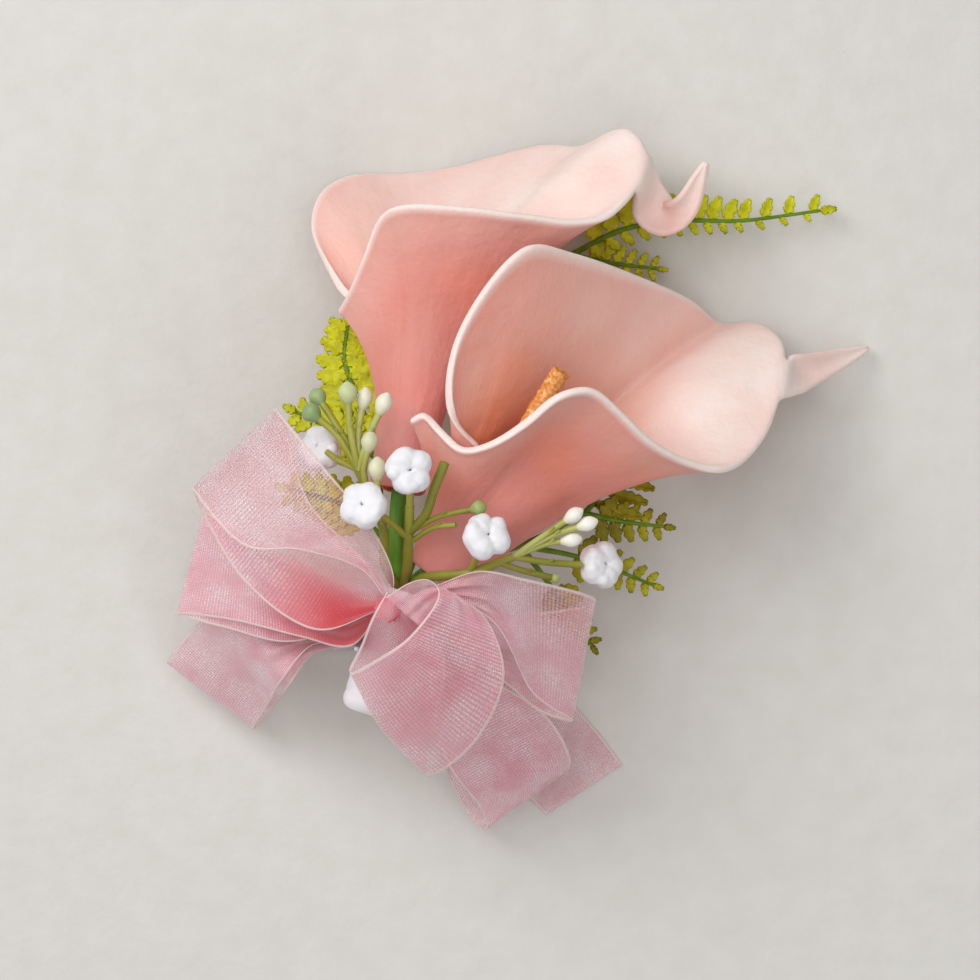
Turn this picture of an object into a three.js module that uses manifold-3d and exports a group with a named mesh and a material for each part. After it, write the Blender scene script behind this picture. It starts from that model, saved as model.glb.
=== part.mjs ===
// Wrist corsage: two foam calla lilies with fern, baby's breath and an organza bow.
// The stems are bound into a satin handle, which a clamp holds on an elastic wristband.
// Millimetres. The corsage lies on a table at z = 0 with its flowers facing up. The origin is the middle
// of the wristband's underside, and +Y runs from the bow towards the flowers.

import * as THREE from "three";
import { mergeVertices } from "three/addons/utils/BufferGeometryUtils.js";
import Module from "manifold-3d";

const wasm = await Module();
wasm.setup();

// Clearances
const seat = 0.3; // between pieces that touch
const turning = 0.5; // in front of a stem that turns

// Overall sizes of flowers and bow. The places listed below follow them from the sizes they are drawn at.
const bouquetWidth = 134; // from the left loops to the tip of the lower lily
const bouquetLength = 133; // from the right loops to the rim of the upper lily
const drawnWidth = 134;
const drawnLength = 133;
const widthShare = bouquetWidth / drawnWidth;
const lengthShare = bouquetLength / drawnLength;

// Wristband: a flattened loop of satin elastic
const bandSpan = 54;
const bandHeight = 27.4;
const bandWidth = 12;
const bandWall = 1.2;
const bandArcFacets = 12;

// Clamp plate on the band, with two straps folded round the handle
const plateLength = 13;
const plateWidth = 11;
const plateWall = 0.8;
const strapWidth = 3;
const strapSpread = 8; // between the middles of the two straps
const strapOpening = 70; // degrees left open at the top of each strap
const clampShift = 5; // of the clamp along the handle, towards its mouth
const strapFacets = 10;

// Handle: satin over stem tape over the cut stems
const handleLength = 24;
const handleRadius = 4.8;
const handleCorner = 2.2;
const handleTurn = -17.3; // degrees
const handleCentre = new THREE.Vector2(-1.5, -6.3);
const satinWall = 0.5;
const tapeWall = 0.4;
const tapeInset = 1; // from the satin's mouth
const handleFacets = 16;
const cornerFacets = 2;

// Stems
const callaStemRadius = 1.55;
const callaStemShift = 1.75; // of each calla stem from the handle's axis
const sprigStemRadius = 0.45;
const sprigStemShift = 1.2;
const sprigStemLift = 2.6; // above the axis for baby's breath, below it for fern
const sprigStemDepth = 20; // into the handle from its mouth
const stemLead = 1.5; // straight run of a calla stem in front of the mouth
const stemFacets = 10;
const stemSteps = 8;
const boundFacets = 5;
const twigFacets = 4;

// Calla lilies
const petalWall = 1.6;
const petalAround = 36;
const petalAlong = 9;
const petalCurl = 0.35; // share of a petal's length that turns out towards the rim
const spadixRadius = 1.5;
const spadixSteps = 6;
const tailSteps = 10;
const tailRows = 3;
const tailTaper = 0.7; // below 1 the tip stays wide for longer

// Bow
const ribbonWall = 0.6;
const ribbonSteps = 24;
const ribbonRows = 2;
const tieRadius = 2.4;
const tieHeight = 18;
const tieFacets = 16;
const tieInset = 3.8; // of the tie from the satin's mouth
const tieShift = -1.5; // of the tie across the handle

// Baby's breath
const blossomRadius = 4.4;
const budRadius = 1.3;
const budLength = 3.6;
const budFacets = 6;
const budRows = 4;
const blossomLobes = 5;
const blossomRows = 6;
const blossomPuff = 0.1; // of each lobe beyond the blossom's radius
const blossomFlatness = 0.75;
const blossomDimple = 0.45;

// Fern
const fernRibRadius = 0.5;
const leafletWall = 0.6;
const leafletSlimness = 0.42; // width over length
const leafletAngle = 58; // degrees from the rib
const leafletShoulder = 0.55; // place of a leaflet's widest part along its length
const leafletTaper = 0.55; // share of its length a leaflet loses towards the tip

// Heights worked out from the sizes above
const tapeRadius = handleRadius - satinWall - seat;
const plateBase = bandHeight + seat;
const handleHeight = plateBase + plateWall + seat + handleRadius;
const bouquetRest = 33.6; // height of the handle's axis at which the petals just reach the table
const degrees = THREE.MathUtils.degToRad;

// Materials
function material(colour, roughness, metalness = 0) {
  return new THREE.MeshStandardMaterial({ color: colour, roughness, metalness });
}

const foam = material(0xf3b8ae, 0.6);
const orange = material(0xf2b05c, 0.7);
const stemGreen = material(0x5f9a2c, 0.5);
const sprigGreen = material(0x9aa24a, 0.5);
const fernGreen = material(0xa8ab28, 0.5);
const white = material(0xf6f6f6, 0.5);
const organza = material(0xe79bab, 0.45);
const satin = material(0xf4f2f6, 0.35);
const tapeGreen = material(0x4f7a3a, 0.7);
const steel = material(0xc8c8c8, 0.35, 1);

// Helpers
const group = new THREE.Group();
const bouquet = new THREE.Group();
bouquet.position.z = handleHeight - bouquetRest;
group.add(bouquet);
const handle = new THREE.Group();
handle.position.set(handleCentre.x, handleCentre.y, handleHeight);
handle.rotation.z = degrees(handleTurn);
group.add(handle);

function addPiece(parent, name, geometry, look) {
  const mesh = new THREE.Mesh(geometry, look);
  mesh.name = name;
  parent.add(mesh);
  return mesh;
}

function vector([x, y, z]) {
  return new THREE.Vector3(x, y, z);
}

// A place drawn at the overall sizes
function place([x, y, z]) {
  return new THREE.Vector3(x * widthShare, y * lengthShare, z);
}

function curveThrough(points) {
  return new THREE.CatmullRomCurve3(points.map((p) => (p.isVector3 ? p : place(p))));
}

// A place in the handle, across, along and above its axis, in the bouquet's frame
function inHandle(across, along, above) {
  const spot = new THREE.Vector3(across, along, above);
  spot.applyAxisAngle(new THREE.Vector3(0, 0, 1), degrees(handleTurn));
  return spot.add(new THREE.Vector3(handleCentre.x, handleCentre.y, bouquetRest));
}

function toSolid(geometry) {
  const bare = geometry.clone();
  bare.deleteAttribute("normal");
  bare.deleteAttribute("uv");
  const merged = mergeVertices(bare, 1e-4);
  const vertProperties = new Float32Array(merged.attributes.position.array);
  const triVerts = new Uint32Array(merged.index.array);
  return new wasm.Manifold(new wasm.Mesh({ numProp: 3, vertProperties, triVerts }));
}

function toGeometry(solid) {
  const mesh = solid.getMesh();
  const geometry = new THREE.BufferGeometry();
  geometry.setAttribute("position", new THREE.BufferAttribute(new Float32Array(mesh.vertProperties), 3));
  geometry.setIndex(new THREE.BufferAttribute(new Uint32Array(mesh.triVerts), 1));
  return geometry;
}

function joined(geometries) {
  return toGeometry(geometries.map(toSolid).reduce((all, next) => all.add(next)));
}

function cut(geometry, tool) {
  return toGeometry(toSolid(geometry).subtract(toSolid(tool)));
}

function circle(radius, sides) {
  const shape = new THREE.Shape();
  for (let i = 0; i <= sides; i += 1) {
    const angle = (i / sides) * 2 * Math.PI;
    shape[i ? "lineTo" : "moveTo"](radius * Math.cos(angle), radius * Math.sin(angle));
  }
  return shape;
}

function rod(points, radius, sides, steps) {
  const extrudePath = curveThrough(points);
  return new THREE.ExtrudeGeometry(circle(radius, sides), { steps, extrudePath });
}

// A ball of the given half sizes, turned so that its Y axis follows a direction
function ball(centre, direction, halfWidth, halfLength, around, along) {
  const geometry = new THREE.SphereGeometry(1, around, along);
  geometry.scale(halfWidth, halfLength, halfWidth);
  const turn = new THREE.Quaternion();
  turn.setFromUnitVectors(new THREE.Vector3(0, 1, 0), direction.clone().normalize());
  geometry.applyQuaternion(turn);
  geometry.translate(centre.x, centre.y, centre.z);
  return geometry;
}

// A closed sheet of even thickness about surface(u, v)
function sheet(surface, along, across, wall) {
  const middle = [];
  const step = 1e-3;
  for (let i = 0; i <= along; i += 1) {
    for (let j = 0; j <= across; j += 1) {
      const u = i / along;
      const v = j / across;
      const alongU = surface(Math.min(u + step, 1), v).sub(surface(Math.max(u - step, 0), v));
      const alongV = surface(u, Math.min(v + step, 1)).sub(surface(u, Math.max(v - step, 0)));
      const normal = alongU.cross(alongV).normalize();
      middle.push({ spot: surface(u, v), normal });
    }
  }
  const row = across + 1;
  const count = middle.length;
  const positions = [];
  for (const side of [0.5, -0.5]) {
    for (const { spot, normal } of middle) {
      positions.push(...spot.clone().addScaledVector(normal, side * wall));
    }
  }
  const index = [];
  const quad = (a, b, c, d) => index.push(a, b, c, a, c, d);
  for (let i = 0; i < along; i += 1) {
    for (let j = 0; j < across; j += 1) {
      const a = i * row + j;
      quad(a, a + row, a + row + 1, a + 1);
      quad(count + a + 1, count + a + row + 1, count + a + row, count + a);
    }
    const near = i * row;
    const far = near + across;
    quad(near, count + near, count + near + row, near + row);
    quad(far + row, count + far + row, count + far, far);
  }
  for (let j = 0; j < across; j += 1) {
    const last = along * row + j;
    quad(j + 1, count + j + 1, count + j, j);
    quad(last, count + last, count + last + 1, last + 1);
  }
  const geometry = new THREE.BufferGeometry();
  geometry.setAttribute("position", new THREE.BufferAttribute(new Float32Array(positions), 3));
  geometry.setIndex(index);
  return geometry;
}

// Wristband: flat straps above and below the wrist, joined by two stretching ends
const bandArcRadius = bandHeight / 2;
const bandFlat = bandSpan - bandHeight;

function bandStrap(name, height) {
  const strap = addPiece(group, name, new THREE.BoxGeometry(bandFlat - 2 * seat, bandWidth, bandWall), satin);
  strap.position.z = height;
}

function bandEnd(name, side) {
  const shape = new THREE.Shape();
  for (let i = 0; i <= bandArcFacets; i += 1) {
    const angle = Math.PI * (i / bandArcFacets - 0.5);
    shape[i ? "lineTo" : "moveTo"](bandArcRadius * Math.cos(angle), bandArcRadius * Math.sin(angle));
  }
  const inner = bandArcRadius - bandWall;
  for (let i = bandArcFacets; i >= 0; i -= 1) {
    const angle = Math.PI * (i / bandArcFacets - 0.5);
    shape.lineTo(inner * Math.cos(angle), inner * Math.sin(angle));
  }
  const geometry = new THREE.ExtrudeGeometry(shape, { depth: bandWidth, steps: 1, bevelEnabled: false });
  geometry.translate(0, 0, -bandWidth / 2);
  geometry.rotateX(Math.PI / 2);
  if (side < 0) {
    geometry.rotateZ(Math.PI);
  }
  geometry.translate((side * bandFlat) / 2, 0, bandArcRadius);
  addPiece(group, name, geometry, satin);
}

bandStrap("band_bottom", bandWall / 2);
bandStrap("band_top", bandHeight - bandWall / 2);
bandEnd("band_end_left", -1);
bandEnd("band_end_right", 1);

// Clamp: a plate on the band with two straps folded round the handle
function clampStrap(along) {
  const inner = handleRadius + seat;
  const outer = inner + plateWall;
  const open = degrees(strapOpening) / 2;
  const shape = new THREE.Shape();
  shape.absarc(0, 0, outer, Math.PI / 2 + open, Math.PI * 2.5 - open, false);
  shape.absarc(0, 0, inner, Math.PI * 2.5 - open, Math.PI / 2 + open, true);
  const geometry = new THREE.ExtrudeGeometry(shape, {
    depth: strapWidth, steps: 1, bevelEnabled: false, curveSegments: strapFacets,
  });
  geometry.rotateX(Math.PI / 2);
  geometry.translate(0, along + strapWidth / 2, 0);
  return geometry;
}

const plate = new THREE.BoxGeometry(plateWidth, plateLength, plateWall);
plate.translate(0, 0, plateBase + plateWall / 2 - handleHeight);
const clampSolid = joined([plate, clampStrap(-strapSpread / 2), clampStrap(strapSpread / 2)]);
const clamp = addPiece(handle, "wristlet_clamp", clampSolid, steel);
clamp.position.y = clampShift;

// Handle: a satin cup with a tape sleeve in it
const mouth = handleLength / 2;
const cup = new THREE.Path();
cup.moveTo(0, -mouth);
cup.lineTo(handleRadius - handleCorner, -mouth);
cup.absarc(handleRadius - handleCorner, handleCorner - mouth, handleCorner, -Math.PI / 2, 0, false);
cup.lineTo(handleRadius, mouth);
cup.lineTo(handleRadius - satinWall, mouth);
cup.lineTo(handleRadius - satinWall, handleCorner - mouth);
const innerCorner = handleCorner - satinWall;
cup.absarc(handleRadius - handleCorner, handleCorner - mouth, innerCorner, 0, -Math.PI / 2, true);
cup.lineTo(0, satinWall - mouth);
addPiece(handle, "satin_wrap", new THREE.LatheGeometry(cup.getPoints(cornerFacets), handleFacets), satin);

const tapeFoot = handleCorner - mouth;
const sleeve = [
  new THREE.Vector2(tapeRadius - tapeWall, tapeFoot),
  new THREE.Vector2(tapeRadius, tapeFoot),
  new THREE.Vector2(tapeRadius, mouth - tapeInset),
  new THREE.Vector2(tapeRadius - tapeWall, mouth - tapeInset),
  new THREE.Vector2(tapeRadius - tapeWall, tapeFoot),
];
addPiece(handle, "stem_tape", new THREE.LatheGeometry(sleeve, handleFacets), tapeGreen);

// Calla lily: a petal rolled from an inner edge to an outer one, on a spiral foot
function callaSurface({ foot, footRadius, footGrowth, lean, throat, rim, reach, spread, flare }) {
  const edge = curveThrough(rim);
  const start = place(foot);
  const axis = vector(lean).normalize();
  const side = new THREE.Vector3(0, 0, 1).cross(axis).normalize();
  const up = axis.clone().cross(side);
  const centre = place(throat);
  const angles = [];
  for (let i = 0; i <= petalAround; i += 1) {
    const away = edge.getPoint(i / petalAround).sub(centre);
    let angle = Math.atan2(away.dot(up), away.dot(side));
    while (i && angle - angles[i - 1] > Math.PI) {
      angle -= 2 * Math.PI;
    }
    while (i && angle - angles[i - 1] < -Math.PI) {
      angle += 2 * Math.PI;
    }
    angles.push(angle);
  }
  return (u, v) => {
    const at = Math.min(Math.floor(u * petalAround), petalAround - 1);
    const angle = THREE.MathUtils.lerp(angles[at], angles[at + 1], u * petalAround - at);
    const outward = side.clone().multiplyScalar(Math.cos(angle)).addScaledVector(up, Math.sin(angle));
    const from = start.clone().addScaledVector(outward, footRadius + footGrowth * u);
    const to = edge.getPoint(u);
    const length = from.distanceTo(to);
    const opening = axis.clone().addScaledVector(outward, spread).normalize();
    const first = from.clone().addScaledVector(opening, reach * length);
    const along = to.clone().sub(first).normalize();
    const turned = along.addScaledVector(outward, flare).normalize();
    const second = to.clone().addScaledVector(turned, -petalCurl * length);
    return new THREE.CubicBezierCurve3(from, first, second, to).getPoint(v);
  };
}

// The drawn-out tip of a petal: a tongue along a path, narrowing from root to point
function tongue(path, rootWidth) {
  const line = curveThrough(path);
  return sheet((u, v) => {
    const tangent = line.getTangent(u);
    const side = new THREE.Vector3(-tangent.y, tangent.x, 0).normalize();
    const width = rootWidth * Math.pow(1 - u, tailTaper) + petalWall / 2;
    return line.getPoint(u).addScaledVector(side, (v - 0.5) * width);
  }, tailSteps, tailRows, petalWall);
}

const callaA = {
  foot: [1.5, 23.5, 36], footRadius: 2.9, footGrowth: 2.4, lean: [0.17, 0.97, -0.12], throat: [12, 74, 25],
  reach: 0.4, spread: 0, flare: 0.5,
  rim: [
    [-7.5, 60, 27], [-11, 64, 22], [-15.5, 73, 14], [-14, 80, 9], [-8.5, 83.5, 4], [0.5, 84, 1],
    [11, 85, 1], [28, 89, 6], [36, 89, 13], [44.5, 91.5, 22], [47.5, 88, 26], [46.5, 81.5, 30],
    [41, 75.5, 34], [34.5, 74, 37], [25.5, 75, 40], [13.5, 76.5, 42], [2.5, 77, 41], [-2, 75, 38],
    [-5.5, 67, 35], [-8, 61, 32], [-10, 57.5, 29],
  ],
  tail: [
    [46, 85.5, 28], [47.5, 83, 25.5], [49, 78.5, 20], [51, 75.5, 18], [54, 77, 20], [56.5, 80.5, 24],
    [58.5, 85.5, 28],
  ],
  tailWidth: 6,
};

const callaB = {
  foot: [7, 8.1, 35.35], footRadius: 3.15, footGrowth: 2.4, lean: [0.62, 0.78, 0], throat: [38, 45, 32],
  reach: 0.4, spread: 0.3, flare: 0.5,
  rim: [
    [16.5, 32, 46], [12, 36.5, 49], [10.5, 41.5, 51], [11.5, 50, 52], [16.5, 60, 52], [25, 69, 50],
    [33.5, 68, 42], [46.5, 64, 25], [56.5, 60, 11], [63, 55.5, 1], [69, 55.5, 6], [73.5, 52, 13],
    [74, 47.5, 18], [72.5, 40, 22], [70, 34, 27], [65.5, 29, 33], [61.5, 27.5, 37], [55.5, 29, 41],
    [49, 32.5, 46], [42.5, 38.5, 51], [37, 42.5, 55], [31.5, 41.5, 57], [25, 36.5, 56], [18.5, 32.5, 54],
    [13, 31.5, 52], [9, 35, 50], [6, 38, 50], [3.5, 37, 49],
  ],
  tail: [[71, 47, 17.5], [74, 46.8, 16], [78, 46.6, 12.5], [82, 46.9, 8], [86.5, 48.6, 4], [90.5, 51, 1.5]],
  tailWidth: 6.5,
};

for (const [name, calla] of [["calla_a", callaA], ["calla_b", callaB]]) {
  const petal = sheet(callaSurface(calla), petalAround, petalAlong, petalWall);
  addPiece(bouquet, `${name}_petal`, joined([petal, tongue(calla.tail, calla.tailWidth)]), foam);
}

// Spadix: a round-ended rod inside each petal, on the end of the stem
function spadix(path) {
  const tip = path[path.length - 1];
  const direction = tip.clone().sub(path[path.length - 2]);
  const end = ball(tip, direction, spadixRadius, spadixRadius, stemFacets, spadixSteps);
  return joined([rod(path, spadixRadius, stemFacets, spadixSteps), end]);
}

// Calla stems: a fixed length in the handle, and a bending one from its mouth into the petal's foot
function callaStem(name, across, path, spadixPath) {
  const cutEnd = inHandle(across, tapeFoot, 0);
  const bound = rod([cutEnd, inHandle(across, mouth, 0)], callaStemRadius, stemFacets, 1);
  addPiece(bouquet, `${name}_stem_end`, bound, stemGreen);
  const start = inHandle(across, mouth + turning, 0);
  const lead = inHandle(across, mouth + turning + stemLead, 0);
  const points = path.map(place);
  const free = rod([start, lead, ...points], callaStemRadius, stemFacets, stemSteps);
  addPiece(bouquet, `${name}_stem`, free, stemGreen);
  const top = points[points.length - 1];
  const direction = top.clone().sub(points[points.length - 2]).normalize();
  const from = top.clone().addScaledVector(direction, 2 * seat);
  addPiece(bouquet, `${name}_spadix`, spadix([from, ...spadixPath.map(place)]), orange);
}

callaStem("calla_a", -callaStemShift, [[0.8, 14.5, 35.5], [1.5, 23.5, 36], [2.2, 27.5, 35.5]], [
  [4.4, 40.5, 33.5], [7, 54, 31],
]);
callaStem("calla_b", callaStemShift, [[8.1, 9.5, 36.3], [11.4, 13.6, 36.8], [15, 18, 37.2]], [
  [20.6, 26.8, 40], [25.5, 36, 43], [31.5, 46, 45],
]);

// A thin stem: straight inside the handle, then curved through the given places
function boundStem(across, above, trunk) {
  const deep = inHandle(across, mouth - sprigStemDepth, above);
  const end = inHandle(across, mouth + 2 * turning, above);
  const start = inHandle(across, mouth + turning, above);
  return [
    rod([deep, end], sprigStemRadius, boundFacets, 1),
    rod([start, ...trunk], sprigStemRadius, boundFacets, stemSteps),
  ];
}

// Baby's breath: a forked stem with buds on some twigs and a blossom on others
function sprig(across, trunk, twigs) {
  const pieces = boundStem(across, sprigStemLift, trunk);
  for (const { path, bud } of twigs) {
    const points = path.map(place);
    pieces.push(rod(points, sprigStemRadius, twigFacets, points.length));
    if (bud) {
      const end = points[points.length - 1];
      const direction = end.clone().sub(points[points.length - 2]);
      pieces.push(ball(end, direction, budRadius * bud, (budLength * bud) / 2, budFacets, budRows));
    }
  }
  return joined(pieces);
}

const leftSprig = sprig(-sprigStemShift, [[-1.2, 10, 41], [-1.5, 17, 44.5], [-6, 27.5, 47]], [
  { path: [[-6, 27.5, 47], [-10, 34, 47], [-14.5, 38, 46]], bud: 1.2 },
  { path: [[-6, 27.5, 47], [-9, 34, 46], [-13.5, 41, 43]], bud: 0.9 },
  { path: [[-6, 27.5, 47], [-7.5, 35, 48.5], [-8, 41.5, 49]], bud: 1.2 },
  { path: [[-6, 27.5, 47], [-6, 35, 47], [-5, 40.5, 47]], bud: 1.1 },
  { path: [[-6, 27.5, 47], [-4, 34, 49], [-1.5, 39.5, 50]], bud: 1.1 },
  { path: [[-6, 27.5, 47], [-10, 29.5, 44], [-12, 31, 42.6]] },
  { path: [[-1.5, 17, 44.5], [-2.5, 23, 49], [-2.5, 27.5, 50]], bud: 1.2 },
  { path: [[-3, 21, 45.6], [-5, 27, 48], [-4, 32.5, 49]], bud: 1.1 },
]);
const middleSprig = sprig(0, [[3, 10, 42.5], [3.3, 16, 47], [3.5, 21, 49.5]], [
  { path: [[3.5, 21, 49.5], [3.6, 24, 51], [3.5, 27.5, 52.4]] },
  { path: [[3.2, 15, 46.3], [-1.5, 19, 50], [-5, 21, 52.4]] },
  { path: [[3.3, 16, 47], [6.5, 19.5, 50], [8, 24, 51.5], [10, 29, 52.5]] },
  { path: [[3.3, 16, 47], [9, 19, 50.5], [16, 20.5, 52.5]], bud: 1 },
  { path: [[3.2, 14, 45.6], [8, 17, 49.5], [12, 17.5, 51]] },
]);
const rightSprig = sprig(sprigStemShift, [[6, 7.6, 43.5], [14.5, 8.6, 48], [22.5, 11.5, 46.5]], [
  { path: [[22.5, 11.5, 46.5], [29, 16, 46], [33.5, 19, 46]], bud: 1.1 },
  { path: [[22.5, 11.5, 46.5], [30, 15.5, 45.5], [36, 17.5, 45.5]], bud: 1.1 },
  { path: [[22.5, 11.5, 46.5], [29, 14, 45], [33, 14.6, 44.5]], bud: 1 },
  { path: [[22.5, 11.5, 46.5], [29, 10.5, 44], [35.2, 10, 41.5]] },
  { path: [[14.5, 8.6, 48], [15.6, 11, 50], [16.6, 13.4, 51.4]] },
  { path: [[20, 10.4, 47.4], [25, 8.8, 46.6], [30.2, 7.6, 45]], bud: 0.7 },
]);
addPiece(bouquet, "sprig_left", leftSprig, sprigGreen);
addPiece(bouquet, "sprig_middle", middleSprig, sprigGreen);
addPiece(bouquet, "sprig_right", rightSprig, sprigGreen);

// Blossom: a flattened ball of five puffed lobes with a dimple, facing along a direction
function blossom(name, middle, facing) {
  const geometry = new THREE.SphereGeometry(1, 3 * blossomLobes, blossomRows);
  const position = geometry.attributes.position;
  const spot = new THREE.Vector3();
  for (let i = 0; i < position.count; i += 1) {
    spot.fromBufferAttribute(position, i);
    const angle = Math.atan2(spot.z, spot.x);
    const edge = Math.hypot(spot.x, spot.z);
    const puff = 1 + blossomPuff * edge * Math.cos(blossomLobes * angle);
    const dimple = spot.y > 0 ? 1 - blossomDimple * (1 - edge) : 1;
    spot.set(spot.x * puff, spot.y * blossomFlatness * dimple, spot.z * puff);
    spot.multiplyScalar(blossomRadius);
    position.setXYZ(i, spot.x, spot.y, spot.z);
  }
  const turn = new THREE.Quaternion();
  turn.setFromUnitVectors(new THREE.Vector3(0, 1, 0), vector(facing).normalize());
  geometry.applyQuaternion(turn);
  const centre = place(middle);
  geometry.translate(centre.x, centre.y, centre.z);
  addPiece(bouquet, name, geometry, white);
}

blossom("blossom_1", [3.5, 27.5, 56.6], [0.1, 0, 1]);
blossom("blossom_2", [-5, 21, 56.6], [-0.1, 0.1, 1]);
blossom("blossom_3", [17.5, 15, 55.4], [0.3, 0.4, 0.8]);
blossom("blossom_4", [38.8, 10, 38.5], [0.8, 0, 0.3]);
blossom("blossom_5", [-13, 31.5, 38.6], [-0.4, 0.3, 0.7]);

// Fern: leaflets in pairs along a rib, each pair one pointed chevron, shorter towards the tip
function leafletPair(root, direction, length) {
  const half = (length * leafletSlimness) / 2;
  const along = new THREE.Vector2(Math.cos(degrees(leafletAngle)), Math.sin(degrees(leafletAngle)));
  const across = new THREE.Vector2(-along.y, along.x);
  const shoulder = along.clone().multiplyScalar(length * leafletShoulder);
  const blade = [
    shoulder.clone().addScaledVector(across, -half),
    along.clone().multiplyScalar(length),
    shoulder.clone().addScaledVector(across, half),
  ];
  const mirrored = blade.map(({ x, y }) => new THREE.Vector2(x, -y)).reverse();
  const front = new THREE.Vector2(half, 0);
  const back = new THREE.Vector2(-half, 0);
  const shape = new THREE.Shape([front, ...blade, back, ...mirrored]);
  const geometry = new THREE.ExtrudeGeometry(shape, { depth: leafletWall, steps: 1, bevelEnabled: false });
  geometry.translate(0, 0, -leafletWall / 2);
  geometry.rotateZ(Math.atan2(direction.y, direction.x));
  geometry.translate(root.x, root.y, root.z);
  return geometry;
}

function leafletsAlong(line, from, pairs, length) {
  const blades = [];
  for (let i = 0; i < pairs; i += 1) {
    const at = from + ((1 - from) * (i + 0.5)) / pairs;
    const size = length * (1 - leafletTaper * (i / pairs));
    blades.push(leafletPair(line.getPointAt(at), line.getTangentAt(at), size));
  }
  return blades;
}

function fern(across, stem, fronds) {
  const pieces = boundStem(across, -sprigStemLift, stem);
  for (const { path, from, pairs, length } of fronds) {
    pieces.push(rod(path, fernRibRadius, twigFacets, path.length + 1));
    pieces.push(...leafletsAlong(curveThrough(path), from, pairs, length));
  }
  return joined(pieces);
}

const topFern = fern(0, [[6, 16, 26], [18, 42, 12], [33.5, 68.5, 7]], [
  {
    path: [[33.5, 68.5, 7], [44, 73.5, 8], [55.5, 75, 8], [65.5, 75, 7], [81, 77, 5]],
    from: 0.08, pairs: 9, length: 6,
  },
  { path: [[33.5, 68.5, 7], [41.5, 67, 6], [50, 66, 5]], from: 0.2, pairs: 4, length: 4 },
]);
const leftFern = fern(-sprigStemShift, [[-1.6, 15, 30], [-2.5, 29.5, 26]], [
  {
    path: [[-2.5, 29.5, 26], [-6, 40, 23], [-9, 48, 21], [-8.5, 54.5, 20]],
    from: 0.1, pairs: 5, length: 7.5,
  },
  { path: [[-2.5, 29.5, 26], [-9, 34, 25], [-18, 38.5, 24]], from: 0.35, pairs: 3, length: 6 },
  { path: [[-1.6, 15, 30], [-9, 21, 30], [-19, 24, 30]], from: 0.3, pairs: 4, length: 6.5 },
]);
const rightFern = fern(sprigStemShift, [[9, 9.5, 29.5], [24, 13.5, 26], [36, 19.5, 23]], [
  { path: [[36, 19.5, 23], [42, 26, 17.4], [49, 33, 15]], from: 0.1, pairs: 4, length: 9 },
  { path: [[36, 19.5, 23], [43, 18, 21], [51, 17, 19]], from: 0.2, pairs: 3, length: 6 },
  { path: [[24, 13.5, 26], [36, 11, 20], [49, 6, 15]], from: 0.45, pairs: 4, length: 5.5 },
  { path: [[24, 13.5, 26], [31, 4, 20], [37.5, -5.5, 14]], from: 0.45, pairs: 4, length: 4.5 },
]);
addPiece(bouquet, "fern_top", topFern, fernGreen);
addPiece(bouquet, "fern_left", leftFern, fernGreen);
addPiece(bouquet, "fern_right", rightFern, fernGreen);

// Bow: loops and a tail of one ribbon, gathered at a tie that stands on the handle
function ribbon(edgeA, edgeB) {
  const near = curveThrough(edgeA);
  const far = curveThrough(edgeB);
  return sheet((u, v) => near.getPoint(u).lerp(far.getPoint(u), v), ribbonSteps, ribbonRows, ribbonWall);
}

const drawnTie = place([-0.5, 2, 0]); // where the tie stands among the places listed below
const tiePlace = inHandle(tieShift, mouth - tieInset, 0);
const bow = new THREE.Group();
bow.position.set(tiePlace.x - drawnTie.x, tiePlace.y - drawnTie.y, 0);
bouquet.add(bow);
const tieBase = bouquetRest + handleRadius + seat;

function tieColumn(clearance) {
  const height = tieHeight + 2 * clearance;
  const column = new THREE.CylinderGeometry(tieRadius + clearance, tieRadius + clearance, height, tieFacets);
  column.rotateX(Math.PI / 2);
  column.translate(drawnTie.x, drawnTie.y, tieBase + tieHeight / 2);
  return column;
}

addPiece(bow, "bow_tie", tieColumn(0), organza);

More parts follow.
